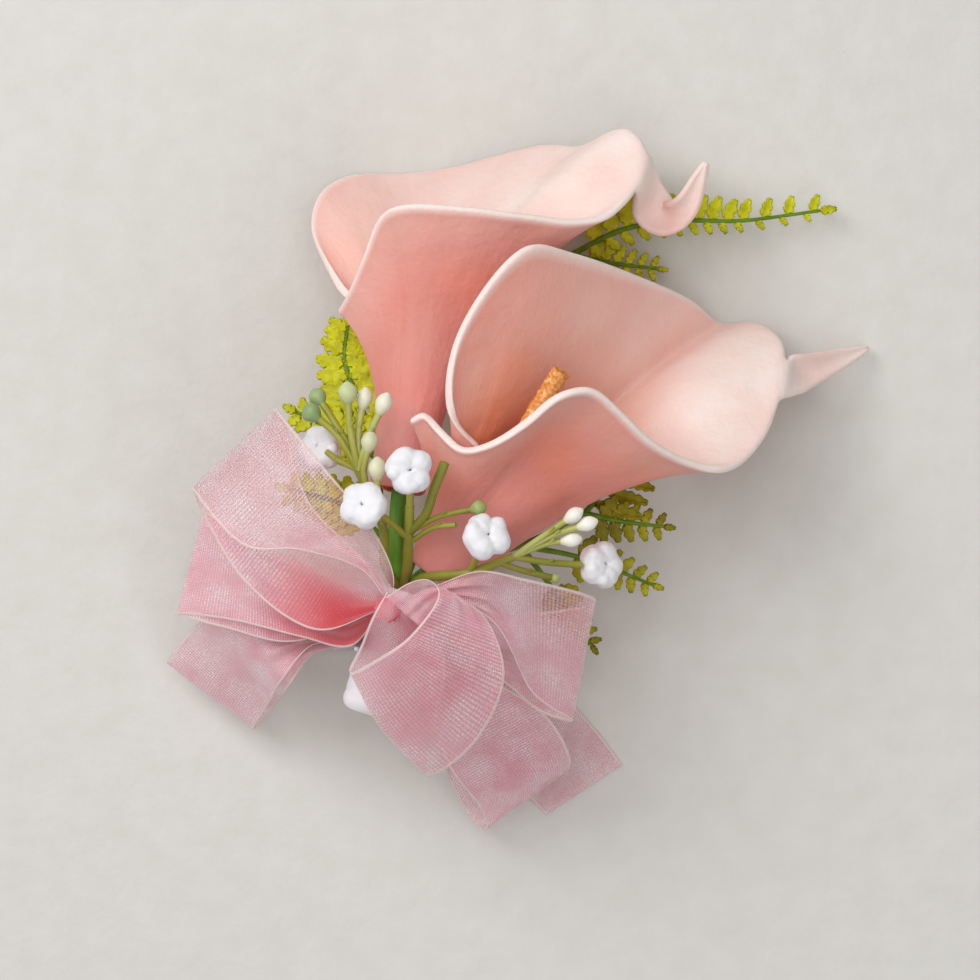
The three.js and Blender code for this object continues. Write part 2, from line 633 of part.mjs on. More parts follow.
const ribbons = {
  bow_loop_left_1: [
    [[0.5, 4, 55], [0.5, 8.5, 54], [-3.5, 17, 51.8], [-12.5, 28.5, 54.5], [-20, 37.5, 48.5], [-21.5, 39, 42],
      [-20, 36.5, 36], [-15.5, 22, 37.5], [-5.5, 11.5, 45], [0, 3.5, 52.5]],
    [[-0.5, 3.5, 55], [-5.5, 9.5, 57], [-16.5, 13, 58.5], [-26.5, 13.5, 57], [-36, 23, 48.5], [-37, 24.5, 42],
      [-35.5, 20, 37], [-27.5, 7, 38], [-14, -2, 45], [-1.5, 2, 52.5]],
  ],
  bow_loop_left_2: [
    [[-1.5, 3, 49.5], [-9, 6, 42.5], [-19, 11.5, 35.5], [-28.5, 16.5, 29], [-35.5, 20, 22], [-29.5, 15.5, 25],
      [-19, 9.5, 32.5], [-9.5, 5, 39.5], [-1.5, 2.5, 47.5]],
    [[-2, 1.5, 49.5], [-7.5, -5, 43.5], [-17, -3.5, 36.5], [-29.5, -0.5, 30.5], [-40.5, 0.5, 22],
      [-31, -2, 28.3], [-20, -4.5, 32.5], [-10, -2, 39.7], [-2, 1, 47.5]],
  ],
  bow_loop_left_3: [
    [[-1.5, 2, 45.5], [-11.5, -0.5, 35], [-21, 0, 29.5], [-31.5, 1.5, 26], [-38.5, -3, 16], [-43, -9, 7],
      [-37, -4.5, 9.5], [-32, -0.5, 23], [-21, -1, 27.8], [-11.5, -1, 33.3], [-1.5, 1.5, 44]],
    [[-1.5, 0.5, 45.5], [-9, -4, 36.5], [-15.5, -5.5, 30], [-20.5, -11.5, 28], [-23.5, -16.5, 18],
      [-26.5, -21.5, 7], [-22.5, -17, 6], [-19.5, -13, 25.5], [-15, -7, 28.2], [-9, -5, 33.5], [-1.5, 0, 44]],
  ],
  bow_loop_right_1: [
    [[-0.6, 4.4, 57.4], [3.6, 6.9, 58], [6.8, 7.4, 59], [8.8, 5, 60], [3.5, -3, 60.5], [-1.5, -6.5, 59.5],
      [-7.5, -9.5, 54], [-5.4, -4.6, 55.5], [-3.4, 0.3, 57.4], [-2.4, 3, 57.4]],
    [[1.8, 2.2, 57.4], [6.5, 4.5, 57.6], [11, 5, 58.4], [17, 1, 58], [21, -10, 54], [15, -23.5, 44],
      [6.5, -29, 36.5], [8.5, -18, 39], [11, -8, 44.6], [1.2, 0.2, 57.4]],
  ],
  bow_loop_right_2: [
    [[1, 3, 54.5], [9, 6.5, 55], [16, 9, 56], [25, 7.5, 52], [38, 3.5, 38], [31.5, 1.5, 31],
      [20, 1, 35], [9, 1.5, 41], [1, 2.5, 48]],
    [[1.5, 2, 54.5], [11, 3.5, 53], [19, -0.5, 52], [26, -13.5, 44], [33.5, -19.5, 31], [28.5, -18, 29.5],
      [21, -12, 36], [10, -4, 41], [1.5, 1.5, 48]],
  ],
  bow_loop_right_3: [
    [[1, 1.5, 45], [9, -4, 39.2], [18, -11, 33.5], [29, -18.5, 26], [33.5, -27, 17], [32.5, -29.5, 13],
      [30.5, -26, 11], [20, -13.5, 24], [10, -5.5, 36.3], [5.5, -2, 40.3], [1, 1, 43.3]],
    [[0.5, 0.5, 45], [3, -6.5, 41.8], [6.5, -16, 34], [10.5, -28, 24], [16.5, -36.5, 14.5], [17.5, -41, 9],
      [14.5, -38.5, 5], [9.5, -28.5, 14], [5, -14, 31], [2.4, -7, 39.4], [0, 0.5, 43.3]],
  ],
  bow_tail: [
    [[1, 1, 40.8], [5, -0.5, 38.5], [10, -2.2, 35], [16, -5, 30], [20, -7.6, 26.7], [27.5, -11.5, 8],
      [34, -17, 2], [39, -22.5, 1], [43.5, -28.5, 1]],
    [[0.5, 0.5, 40.8], [2.5, -3, 39], [4.8, -6, 36.8], [7, -9.5, 30.5], [11, -14, 22], [20, -27.5, 6],
      [26, -35, 1.5], [27.5, -36.5, 1], [29, -38, 1]],
  ],
};
for (const [name, [edgeA, edgeB]] of Object.entries(ribbons)) {
  addPiece(bow, name, cut(ribbon(edgeA, edgeB), tieColumn(seat)), organza);
}

export default group;
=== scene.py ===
# %% [markdown]
# # A wrist corsage
# Two foam calla lilies, fern and baby's breath are bound into a short satin handle under an organza bow,
# and a clamp holds the handle on an elastic wristband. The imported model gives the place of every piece.
# This file gives each piece its finished form and its finish.

# %% Frame
import bpy
import math
from mathutils import Matrix, Quaternion, Vector, noise


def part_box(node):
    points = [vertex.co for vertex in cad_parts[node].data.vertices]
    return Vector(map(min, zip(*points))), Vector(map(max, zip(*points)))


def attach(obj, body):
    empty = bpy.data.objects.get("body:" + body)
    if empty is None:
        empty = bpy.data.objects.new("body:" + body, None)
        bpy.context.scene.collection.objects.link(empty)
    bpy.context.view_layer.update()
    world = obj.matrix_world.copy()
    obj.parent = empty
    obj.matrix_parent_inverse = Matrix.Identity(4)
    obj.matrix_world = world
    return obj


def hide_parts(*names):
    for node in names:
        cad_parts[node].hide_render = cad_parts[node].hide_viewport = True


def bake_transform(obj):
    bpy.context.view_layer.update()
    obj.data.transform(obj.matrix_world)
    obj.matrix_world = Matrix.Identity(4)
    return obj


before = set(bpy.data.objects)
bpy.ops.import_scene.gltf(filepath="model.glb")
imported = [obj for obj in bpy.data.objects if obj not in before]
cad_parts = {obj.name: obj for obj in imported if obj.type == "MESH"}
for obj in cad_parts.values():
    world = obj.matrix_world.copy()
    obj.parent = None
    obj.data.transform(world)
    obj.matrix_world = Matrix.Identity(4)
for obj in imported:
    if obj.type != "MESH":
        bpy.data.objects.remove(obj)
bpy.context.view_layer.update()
MM = 0.001

# %% [markdown]
# ## Camera and light
# The corsage was photographed from straight above, so the camera hangs over the middle of the picture and
# looks down, far away and with a long lens. A short lens close by would show more of the flowers' sides.

# %% Camera
MIDDLE = Vector((18.3, 23.9, 0)) * MM
FRAME_WIDTH = 183.3 * MM
CAMERA_HEIGHT = 1.5
FLOWER_LEVEL = 0.03
SENSOR_WIDTH = 36

scene = bpy.context.scene
scene.view_settings.view_transform = "Standard"
bpy.ops.object.select_all(action="DESELECT")
bpy.ops.object.camera_add(location=(MIDDLE.x, MIDDLE.y, CAMERA_HEIGHT), rotation=(0, 0, 0))
camera = bpy.context.object
camera.data.sensor_width = SENSOR_WIDTH
camera.data.lens = SENSOR_WIDTH * (CAMERA_HEIGHT - FLOWER_LEVEL) / FRAME_WIDTH
scene.camera = camera
print("lens", round(camera.data.lens, 1), "mm")

# %% [markdown]
# A large soft lamp at the upper left gives the soft shadows at the right. A broad lamp overhead lights the
# whole table, and a weak lamp at the lower right and an even sky fill the shadows.

# %% Lamps and sky
SKY_STRENGTH = 0.28


def lamp(name, place, target, size, power):
    """A square soft lamp that faces a target."""
    bpy.ops.object.light_add(type="AREA", location=place)
    light = bpy.context.object
    light.name = name
    light.data.size = size
    light.data.energy = power
    light.rotation_euler = (Vector(target) - Vector(place)).to_track_quat("-Z", "Y").to_euler()
    return light


lamp("key_lamp", (-0.42, 0.42, 0.62), MIDDLE, 0.45, 3.3)
lamp("top_lamp", (-0.1, 0.2, 1.3), MIDDLE, 0.9, 5.6)
lamp("fill_lamp", (0.4, -0.45, 0.8), MIDDLE, 0.6, 1.5)

world = bpy.data.worlds.new("studio")
scene.world = world
world.use_nodes = True
sky = world.node_tree.nodes["Background"]
sky.inputs["Color"].default_value = (1, 0.99, 0.975, 1)
sky.inputs["Strength"].default_value = SKY_STRENGTH

# %% [markdown]
# ## Finishes
# Every finish is a small set of nodes. A helper starts each one with its shader, and short helpers add a
# noise, a colour ramp or a bump, so that a finish reads as a list of what is on the surface.

# %% Colours
def colour(red, green, blue):
    """A colour as seen on the screen, 0 to 255, made linear for the shader."""
    def linear(value):
        share = value / 255
        return share / 12.92 if share <= 0.04045 else ((share + 0.055) / 1.055) ** 2.4
    return (linear(red), linear(green), linear(blue), 1)


def grey(share):
    """A plain grey, from 0 to 1, for a ramp that is used as a value."""
    return (share, share, share, 1)


print("middle grey in linear light:", round(colour(128, 128, 128)[0], 3))


# %% Finish helpers
class Finish:
    """A material with its shader and helpers that add the usual nodes."""

    def __init__(self, name, base, roughness):
        self.material = bpy.data.materials.new(name)
        self.material.use_nodes = True
        self.tree = self.material.node_tree
        self.shader = self.tree.nodes["Principled BSDF"]
        self.shader.inputs["Base Color"].default_value = base
        self.shader.inputs["Roughness"].default_value = roughness
        self.coordinates = self.tree.nodes.new("ShaderNodeTexCoord")

    def set(self, socket, value):
        self.shader.inputs[socket].default_value = value

    def link(self, start, end):
        self.tree.links.new(start, end)

    def feed(self, socket, value):
        """Links an output to a socket, or sets the socket to a plain value."""
        if hasattr(value, "node"):
            self.link(value, socket)
        else:
            socket.default_value = value

    def add(self, kind, **settings):
        node = self.tree.nodes.new(kind)
        for name, value in settings.items():
            setattr(node, name, value)
        return node

    def noise(self, scale, detail=3, source="Object", stretch=(1, 1, 1)):
        mapping = self.add("ShaderNodeMapping")
        mapping.inputs["Scale"].default_value = stretch
        texture = self.add("ShaderNodeTexNoise")
        texture.inputs["Scale"].default_value = scale
        texture.inputs["Detail"].default_value = detail
        self.link(self.coordinates.outputs[source], mapping.inputs["Vector"])
        self.link(mapping.outputs["Vector"], texture.inputs["Vector"])
        return texture.outputs["Fac"]

    def ramp(self, factor, stops):
        node = self.add("ShaderNodeValToRGB")
        bands = node.color_ramp.elements
        while len(bands) < len(stops):
            bands.new(0.5)
        for band, (place, shade) in zip(bands, stops):
            band.position = place
            band.color = shade
        self.link(factor, node.inputs["Fac"])
        return node.outputs["Color"]

    def mix(self, factor, first, second, blend="MIX"):
        node = self.add("ShaderNodeMix", data_type="RGBA", blend_type=blend)
        for socket, value in ((0, factor), (6, first), (7, second)):
            self.feed(node.inputs[socket], value)
        return node.outputs[2]

    def maths(self, operation, first, second):
        node = self.add("ShaderNodeMath", operation=operation)
        self.feed(node.inputs[0], first)
        self.feed(node.inputs[1], second)
        return node.outputs[0]

    def cloth_axes(self):
        """The piece's own UV map, as separate outputs X and Y."""
        node = self.add("ShaderNodeSeparateXYZ")
        self.link(self.coordinates.outputs["UV"], node.inputs["Vector"])
        return node.outputs

    def attribute(self, name):
        return self.add("ShaderNodeAttribute", attribute_name=name).outputs["Fac"]

    def paint(self, output):
        self.link(output, self.shader.inputs["Base Color"])

    def bump(self, height, distance, strength=1):
        node = self.add("ShaderNodeBump")
        node.inputs["Strength"].default_value = strength
        node.inputs["Distance"].default_value = distance
        self.link(height, node.inputs["Height"])
        self.link(node.outputs["Normal"], self.shader.inputs["Normal"])


def wear(piece, *finishes):
    """Gives a piece its materials, in slot order."""
    slots = piece.data.materials
    for index, finish in enumerate(finishes):
        if index < len(slots):
            slots[index] = finish.material
        else:
            slots.append(finish.material)


print("finish helpers ready")

# %% [markdown]
# The table is a sheet of textured paper. A plain colour would look like plastic, so it gets a faint mottling
# and a fine bump. It is not part of the corsage.

# %% Table
paper = Finish("table_paper", colour(219, 217, 212), 0.95)
paper.paint(paper.ramp(paper.noise(160, 8), [(0.3, colour(216, 214, 208)), (0.7, colour(221, 219, 214))]))
paper.bump(paper.noise(420, 6), 0.0005, 0.4)
bpy.ops.mesh.primitive_plane_add(size=3, location=(MIDDLE.x, MIDDLE.y, -0.0002))
table = bpy.context.object
table.name = "table"
wear(table, paper)
print("table laid")

# %% [markdown]
# ## Lines and sheets
# Petals, ribbon and leaves are thin sheets, and all of them follow smooth lines through a few places. A grid
# is added as a primitive and each of its points is moved to its place on the sheet, because pulling such
# free forms by hand from a cube would never meet the outlines in the photograph.

# %% Line helpers
def line_through(points):
    """A smooth line through places in millimetres; line(t) gives metres for t from 0 to 1."""
    knots = [Vector(point) * MM for point in points]
    chain = [knots[0] * 2 - knots[1], *knots, knots[-1] * 2 - knots[-2]]
    spans = len(knots) - 1

    def line(t):
        at = min(max(int(t * spans), 0), spans - 1)
        share = t * spans - at
        before, start, end, after = chain[at:at + 4]
        lead = max((start - before).length, 1e-9) ** 0.5
        span = max((end - start).length, 1e-9) ** 0.5
        trail = max((after - end).length, 1e-9) ** 0.5
        leave = ((start - before) / lead - (end - before) / (lead + span) + (end - start) / span) * span
        arrive = ((end - start) / span - (after - start) / (span + trail) + (after - end) / trail) * span
        square = share * share
        cube = square * share
        return (
            start * (2 * cube - 3 * square + 1) + leave * (cube - 2 * square + share)
            + end * (3 * square - 2 * cube) + arrive * (cube - square)
        )

    return line


def direction_of(line, t):
    """The unit direction of a line at t."""
    return (line(min(t + 0.002, 1)) - line(max(t - 0.002, 0))).normalized()


def smooth_step(low, high, value):
    """0 below low, 1 above high, and a soft change between."""
    share = min(max((value - low) / (high - low), 0), 1)
    return share * share * (3 - 2 * share)


print("line helpers ready")

# %% [markdown]
# A sheet starts as a flat grid from 0 to 1 both ways. It is cut, moved to its place and given a wall with the
# same few operators each time, so these become helpers. An operator acts on all that is selected, and so
# each helper first selects its own piece alone.

# %% Sheet helpers
SEAM_REACH = 1e-6


def only(piece):
    """Selects one piece and makes it the active one."""
    bpy.ops.object.select_all(action="DESELECT")
    piece.select_set(True)
    bpy.context.view_layer.objects.active = piece


def apply_modifier(piece, kind, **settings):
    """Adds a modifier, sets it and applies it."""
    only(piece)
    modifier = piece.modifiers.new(kind.lower(), kind)
    for name, value in settings.items():
        setattr(modifier, name, value)
    bpy.ops.object.modifier_apply(modifier=modifier.name)


def delete_where(piece, parts, kind, is_waste):
    """Deletes the faces or points of a piece that a test picks."""
    only(piece)
    bpy.ops.object.mode_set(mode="EDIT")
    bpy.ops.mesh.select_all(action="DESELECT")
    bpy.ops.object.mode_set(mode="OBJECT")
    for part in parts:
        part.select = is_waste(part)
    bpy.ops.object.mode_set(mode="EDIT")
    bpy.ops.mesh.delete(type=kind)
    bpy.ops.object.mode_set(mode="OBJECT")


def close_seams(piece):
    """Merges the points that meet at a seam or pole, and turns all faces outwards."""
    only(piece)
    bpy.ops.object.mode_set(mode="EDIT")
    bpy.ops.mesh.select_all(action="SELECT")
    bpy.ops.mesh.remove_doubles(threshold=SEAM_REACH)
    bpy.ops.mesh.normals_make_consistent(inside=False)
    bpy.ops.object.mode_set(mode="OBJECT")


def new_grid(name, columns, rows):
    """A flat grid from 0 to 1 both ways, with a UV map of the same."""
    bpy.ops.object.select_all(action="DESELECT")
    bpy.ops.mesh.primitive_grid_add(x_subdivisions=columns, y_subdivisions=rows, size=1, location=(0, 0, 0))
    piece = bpy.context.object
    piece.name = name
    for vertex in piece.data.vertices:
        vertex.co += Vector((0.5, 0.5, 0))
    return piece


def shape_grid(piece, place):
    """Moves each point of a flat grid to place(u, v)."""
    for vertex in piece.data.vertices:
        vertex.co = place(vertex.co.x, vertex.co.y)
    only(piece)
    bpy.ops.object.shade_smooth()


print("sheet helpers ready")

# %% [markdown]
# Stems, twigs and ribs are round tubes: a path with a bevel, made a mesh. A value written at each point of a
# mesh lets one finish change its colour along a piece.

# %% Tubes, joining and written values
def join(name, pieces):
    """Joins pieces into one, under a new name."""
    only(pieces[0])
    for piece in pieces[1:]:
        piece.select_set(True)
    bpy.ops.object.join()
    whole = bpy.context.object
    whole.name = name
    return whole


def tube(name, line, radius, tip=1.0, steps=14, sides=3):
    """A round closed tube along a line, thinner towards its end."""
    bpy.ops.object.select_all(action="DESELECT")
    bpy.ops.curve.primitive_nurbs_path_add(location=(0, 0, 0))
    rod = bpy.context.object
    rod.name = name
    rod.data.splines.clear()
    spline = rod.data.splines.new("POLY")
    spline.points.add(steps)
    for index, point in enumerate(spline.points):
        t = index / steps
        point.co = (*line(t), 1)
        point.radius = 1 + (tip - 1) * t
    rod.data.dimensions = "3D"
    rod.data.bevel_depth = radius * MM
    rod.data.bevel_resolution = sides
    rod.data.use_fill_caps = True
    only(rod)
    bpy.ops.object.convert(target="MESH")
    rod = bpy.context.object
    bpy.ops.object.shade_smooth()
    return rod


def write_values(piece, name, values):
    """Writes one value per point under a name that a finish can read."""
    layer = piece.data.attributes.get(name) or piece.data.attributes.new(name, "FLOAT", "POINT")
    layer.data.foreach_set("value", values)


def set_tone(piece, tone):
    """Writes tone(place), from 0 to 1, at each point."""
    write_values(piece, "tone", [tone(vertex.co) for vertex in piece.data.vertices])


print("tube and value helpers ready")

# %% [markdown]
# ## Calla lilies
# A calla petal is one sheet of soft foam, rolled round the stem at its foot and opened into a funnel whose
# rim rolls outwards. It could be sculpted from a cone, but the rim is free in all three directions. So the
# rim is drawn as a line, and from a spiral foot one curve runs out to each place on it. The drawn-out tip is
# part of the same sheet: extra rows of the grid continue past the rim where the tip grows.

# %% Petal places
CALLA_A = {
    "foot": (1.5, 23.5, 36), "foot_radius": 2.9, "foot_growth": 2.4, "lean": (0.17, 0.97, -0.12),
    "throat": (12, 74, 25), "reach": 0.4, "spread": 0, "flare": 0.5,
    "rim": [
        (-7.5, 60, 27), (-11, 64, 22), (-15.5, 73, 14), (-14, 80, 9), (-8.5, 83.5, 4), (0.5, 84, 1),
        (11, 85, 1), (28, 89, 6), (36, 89, 13), (44.5, 91.5, 22), (47.5, 88, 26), (46.5, 81.5, 30),
        (41, 75.5, 34), (34.5, 74, 37), (25.5, 75, 40), (13.5, 76.5, 42), (2.5, 77, 41), (-2, 75, 38),
        (-5.5, 67, 35), (-8, 61, 32), (-10, 57.5, 29),
    ],
    "tip": [(48.4, 79.2, 19.5), (50, 75.6, 17.5), (52.6, 75.3, 18.5), (55.4, 77.6, 22), (57.2, 81.5, 25.5),
            (58.8, 85.3, 28)],
    "tip_from": 0.5, "tip_to": 0.562, "tip_pale": 0.55,
    "pale_from": (-0.15, 0.45), "pale_along": (0.35, 0.8),
}
CALLA_B = {
    "foot": (7, 8.1, 35.35), "foot_radius": 3.15, "foot_growth": 2.4, "lean": (0.62, 0.78, 0),
    "throat": (38, 45, 32), "reach": 0.4, "spread": 0.3, "flare": 0.5,
    "rim": [
        (16.5, 32, 46), (12, 36.5, 49), (10.5, 41.5, 51), (11.5, 50, 52), (16.5, 60, 52), (25, 69, 50),
        (33.5, 68, 42), (46.5, 64, 25), (56.5, 60, 11), (63, 55.5, 1), (69, 55.5, 6), (73.5, 52, 13),
        (74, 47.5, 18), (72.5, 40, 22), (70, 34, 27), (65.5, 29, 33), (61.5, 27.5, 37), (55.5, 29, 41),
        (49, 32.5, 46), (42.5, 38.5, 51), (37, 42.5, 55), (31.5, 41.5, 57), (25, 36.5, 56), (18.5, 32.5, 54),
        (13, 31.5, 52), (9, 35, 50), (6, 38, 50), (3.5, 37, 49),
    ],
    "tip": [(76.3, 45.8, 14.5), (80, 47, 11), (85.4, 49, 6), (90.5, 51, 2)],
    "tip_from": 0.437, "tip_to": 0.48, "tip_pale": 0.9,
    "pale_from": (0.14, 0.42), "pale_along": (0.4, 0.75),
}
print("places on the rims:", len(CALLA_A["rim"]), "and", len(CALLA_B["rim"]))

# %% [markdown]
# Each curve leaves the foot along the stem and meets the rim leaning outwards, which gives the funnel its
# flare. The angle of a place on the rim, seen round the throat, says where on the spiral foot its curve
# starts, so that neighbouring curves run side by side.

# %% Petal surface
PETAL_COLUMNS = 132
PETAL_CURL = 0.35


def petal_surface(calla):
    """place(u, v) on a petal: u runs round the rim, v from the foot to the rim."""
    rim = line_through(calla["rim"])
    foot = Vector(calla["foot"]) * MM
    axis = Vector(calla["lean"]).normalized()
    side = Vector((0, 0, 1)).cross(axis).normalized()
    up = axis.cross(side)
    throat = Vector(calla["throat"]) * MM
    angles = []
    for column in range(PETAL_COLUMNS + 1):
        away = rim(column / PETAL_COLUMNS) - throat
        angle = math.atan2(away.dot(up), away.dot(side))
        while angles and angle - angles[-1] > math.pi:
            angle -= 2 * math.pi
        while angles and angle - angles[-1] < -math.pi:
            angle += 2 * math.pi
        angles.append(angle)

    def place(u, v):
        angle = angles[min(round(u * PETAL_COLUMNS), PETAL_COLUMNS)]
        outward = side * math.cos(angle) + up * math.sin(angle)
        start = foot + outward * (calla["foot_radius"] + calla["foot_growth"] * u) * MM
        end = rim(u)
        length = (end - start).length
        opening = (axis + outward * calla["spread"]).normalized()
        first = start + opening * calla["reach"] * length
        turned = ((end - first).normalized() + outward * calla["flare"]).normalized()
        second = end - turned * PETAL_CURL * length
        rest = 1 - v
        return start * rest**3 + first * 3 * rest**2 * v + second * 3 * rest * v**2 + end * v**3

    return place, rim


print("petal surface ready")

# %% [markdown]
# The tip is a tongue along a line of its own, a little hollow across and narrowing to a point. Its root
# follows the rim, so that the petal runs into it without a step.

# %% Tip surface
TIP_TAPER = 0.8
TIP_END = 0.4 * MM
TIP_HOLLOW = 0.45


def tip_surface(calla, rim):
    """place(s, t) on the drawn-out tip: s runs across it and t from the rim to its point."""
    start, end = calla["tip_from"], calla["tip_to"]
    middle = rim((start + end) / 2)
    line = line_through([tuple(middle / MM), *calla["tip"]])
    across = rim(end) - rim(start)
    width = across.length

    def place(s, t):
        along = direction_of(line, t)
        side = along.cross(Vector((0, 0, 1)))
        side = side.normalized() if side.length > 0.05 else across.normalized()
        if side.dot(across) < 0:
            side = -side
        normal = side.cross(along)
        half = width * 0.5 * (1 - t) ** TIP_TAPER + TIP_END
        offset = 2 * s - 1
        hollow = normal * half * TIP_HOLLOW * (offset * offset - 0.4)
        tongue = line(t) + side * half * offset + hollow
        grown = rim(start + s * (end - start)) + (line(t) - middle)
        return grown.lerp(tongue, smooth_step(0, 0.3, t))

    return place


print("tip surface ready")

# %% [markdown]
# The grid's rows past the rim are deleted except where the tip grows. The foam has slow waves and finer
# creases, which are pushed into the sheet before it gets its wall. The wall swells a little at the rim, as
# foam does where it was cut and rolled. The coral was sprayed into the funnel, so the inside is pale on the
# lips that open outwards and coral almost to the edge on the lower lily's upright back wall. This is partly
# the
# spray and partly painted light: painted highlight on the lips that face the lamps, and painted shade on the
# back wall, which faces away from them. Values at each point keep this for the finish: how pale the inside
# and the outside are, and where the cut rim is.

# %% Petals
PETAL_ROWS = 40
TIP_ROWS = 16
RIM_AT = PETAL_ROWS / (PETAL_ROWS + TIP_ROWS)
PETAL_WALL = 1.7 * MM
SLOW_WAVES, SLOW_HEIGHT = 70, 0.5
FINE_WAVES, FINE_HEIGHT = 190, 0.22
WAVE_HEIGHT = 0.7 * MM
BODY_WALL_SHARE = 0.7
OUTSIDE_PALING = 0.3


def make_petal(name, calla, seed):
    """One petal with its tip, as a closed sheet whose outer side has the second material."""
    piece = new_grid(name, PETAL_COLUMNS, PETAL_ROWS + TIP_ROWS)

    def past_rim(face):
        beside_tip = face.center.x < calla["tip_from"] or face.center.x > calla["tip_to"]
        return face.center.y > RIM_AT and beside_tip

    delete_where(piece, piece.data.polygons, "FACE", past_rim)
    petal, rim = petal_surface(calla)
    first = math.ceil(calla["tip_from"] * PETAL_COLUMNS) / PETAL_COLUMNS
    last = math.floor(calla["tip_to"] * PETAL_COLUMNS) / PETAL_COLUMNS
    calla = dict(calla, tip_from=first, tip_to=last)
    tip = tip_surface(calla, rim)
    shift = Vector((seed * 7.1, seed * 3.7, 0))
    flat = [vertex.co.copy() for vertex in piece.data.vertices]

    def place(u, v):
        if v <= RIM_AT + 1e-6:
            share = v / RIM_AT
            spot = petal(u, share)
            wave = (
                noise.noise(spot * SLOW_WAVES + shift) * SLOW_HEIGHT
                + noise.noise(spot * FINE_WAVES + shift) * FINE_HEIGHT
            )
            lift = smooth_step(0.25, 0.6, share) * WAVE_HEIGHT
            toward = petal(u, share) - petal(min(u + 0.01, 1), share)
            along = petal(u, min(share + 0.02, 1)) - petal(u, max(share - 0.02, 0))
            normal = along.cross(toward)
            return spot + (normal.normalized() * wave * lift if normal.length > 1e-9 else Vector())
        return tip((u - first) / (last - first), (v - RIM_AT) / (1 - RIM_AT))

    shape_grid(piece, place)
    group = piece.vertex_groups.new(name="wall")
    pale_inside, pale_outside, rims = [], [], []
    for vertex, at in zip(piece.data.vertices, flat):
        share = at.y / RIM_AT
        past = smooth_step(1, 1 / RIM_AT, share)
        near = smooth_step(0.95, 1, share)
        # The inside pales partly from the spray and partly as painted highlight on lips that face the lamps;
        # the back wall that faces away stays coral, partly as painted shade.
        lit_and_sprayed_lip = smooth_step(*calla["pale_from"], at.x) * smooth_step(*calla["pale_along"], share)
        on_tip = calla["tip_pale"] + (1 - calla["tip_pale"]) * smooth_step(0.35, 0.75, past)
        pale_inside.append(lit_and_sprayed_lip if share <= 1.01 else on_tip)
        pale_outside.append(OUTSIDE_PALING * smooth_step(0.6, 1, share) if share <= 1.01 else on_tip)
        rims.append(near * (1 - past))
        wall = BODY_WALL_SHARE + (1 - BODY_WALL_SHARE) * near * (1 - past)
        group.add([vertex.index], wall, "REPLACE")
    write_values(piece, "pale_inside", pale_inside)
    write_values(piece, "pale_outside", pale_outside)
    write_values(piece, "rim", rims)
    for _ in range(2):
        piece.data.materials.append(None)
    apply_modifier(
        piece, "SOLIDIFY", thickness=PETAL_WALL, offset=0, material_offset=1, use_even_offset=False,
        vertex_group=group.name,
    )
    apply_modifier(piece, "SUBSURF", levels=1, render_levels=1)
    only(piece)
    bpy.ops.object.shade_smooth()
    print(name, len(piece.data.polygons), "faces")
    return piece


petal_a = make_petal("petal_a", CALLA_A, 1)
petal_b = make_petal("petal_b", CALLA_B, 2)

# %% [markdown]
# The foam is coral, deepest and most orange in the throat, with a faint mottle, the small wrinkles of
# stretched foam and creases that run from foot to rim. The petal's own UV map gives the change along it, and
# the values written above give the pale lips, which are partly painted highlight, and the pale edges. The
# inner side is a second finish, because only there the lip is pale.

# %% Petal finish
FOAM_PALE = colour(252, 233, 226)


def petal_finish(name, stops, pale_name):
    """Soft foam with colours from foot to rim, paling by a value written on the petal."""
    foam = Finish(name, colour(224, 136, 120), 0.58)
    uneven = foam.maths("MULTIPLY", foam.noise(38, 2), 0.12)
    along = foam.maths("ADD", foam.cloth_axes()["Y"], uneven)
    base = foam.ramp(foam.maths("SUBTRACT", along, 0.06), stops)
    mottle = foam.ramp(foam.noise(45, 6), [
        (0.3, colour(255, 236, 220)), (0.5, colour(248, 240, 240)), (0.7, colour(246, 255, 255)),
    ])
    base = foam.mix(1.0, base, mottle, "MULTIPLY")
    patches = foam.ramp(foam.noise(55, 5), [(0.3, grey(0.62)), (0.65, grey(1))])
    pale = foam.maths("MULTIPLY", foam.attribute(pale_name), patches)
    foam.paint(foam.mix(foam.maths("MAXIMUM", pale, foam.attribute("rim")), base, FOAM_PALE))
    wrinkles = foam.maths("ADD", foam.noise(150, 7), foam.maths("MULTIPLY", foam.noise(900, 4), 0.3))
    creases = foam.noise(1, 4, "UV", stretch=(12, 2.5, 1))
    foam.bump(foam.maths("ADD", wrinkles, foam.maths("MULTIPLY", creases, 1.5)), 0.0011, 0.4)
    foam.set("Subsurface Weight", 0.1)
    foam.set("Subsurface Radius", (0.004, 0.002, 0.0015))
    foam.set("Sheen Weight", 0.1)
    return foam


petal_outside = petal_finish("petal_outside", [
    (0.0, colour(238, 164, 160)), (0.2, colour(232, 152, 142)), (0.4, colour(230, 146, 132)),
    (0.7, colour(238, 150, 134)),
], "pale_outside")
petal_inside = petal_finish("petal_inside", [
    (0.0, colour(240, 104, 44)), (0.18, colour(247, 140, 84)), (0.36, colour(248, 174, 144)),
    (0.55, colour(249, 182, 166)), (0.7, colour(250, 174, 158)),
], "pale_inside")
for piece, body in ((petal_a, "calla_a"), (petal_b, "calla_b")):
    wear(piece, petal_inside, petal_outside)
    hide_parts(f"{body}_petal")
    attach(piece, body)
print("petals finished")

# %% [markdown]
# ## Spadix and stems
# The spadix is a slim rod covered in small orange grains. A tube along its line is pushed in and out by a
# fine noise. The stems are smooth green tubes that follow the same lines as the solids. They start in the
# handle, so a helper gives places across, along and above the handle's axis.

# %% Handle frame and grain
MOUTH = 12
HANDLE_CENTRE = Vector((-1.5, -6.3, 33.6))
HANDLE_TURN = math.radians(-17.3)


def in_handle(across, along, above):
    """A place in the handle, across, along and above its axis, in millimetres."""
    return tuple(Matrix.Rotation(HANDLE_TURN, 3, "Z") @ Vector((across, along, above)) + HANDLE_CENTRE)


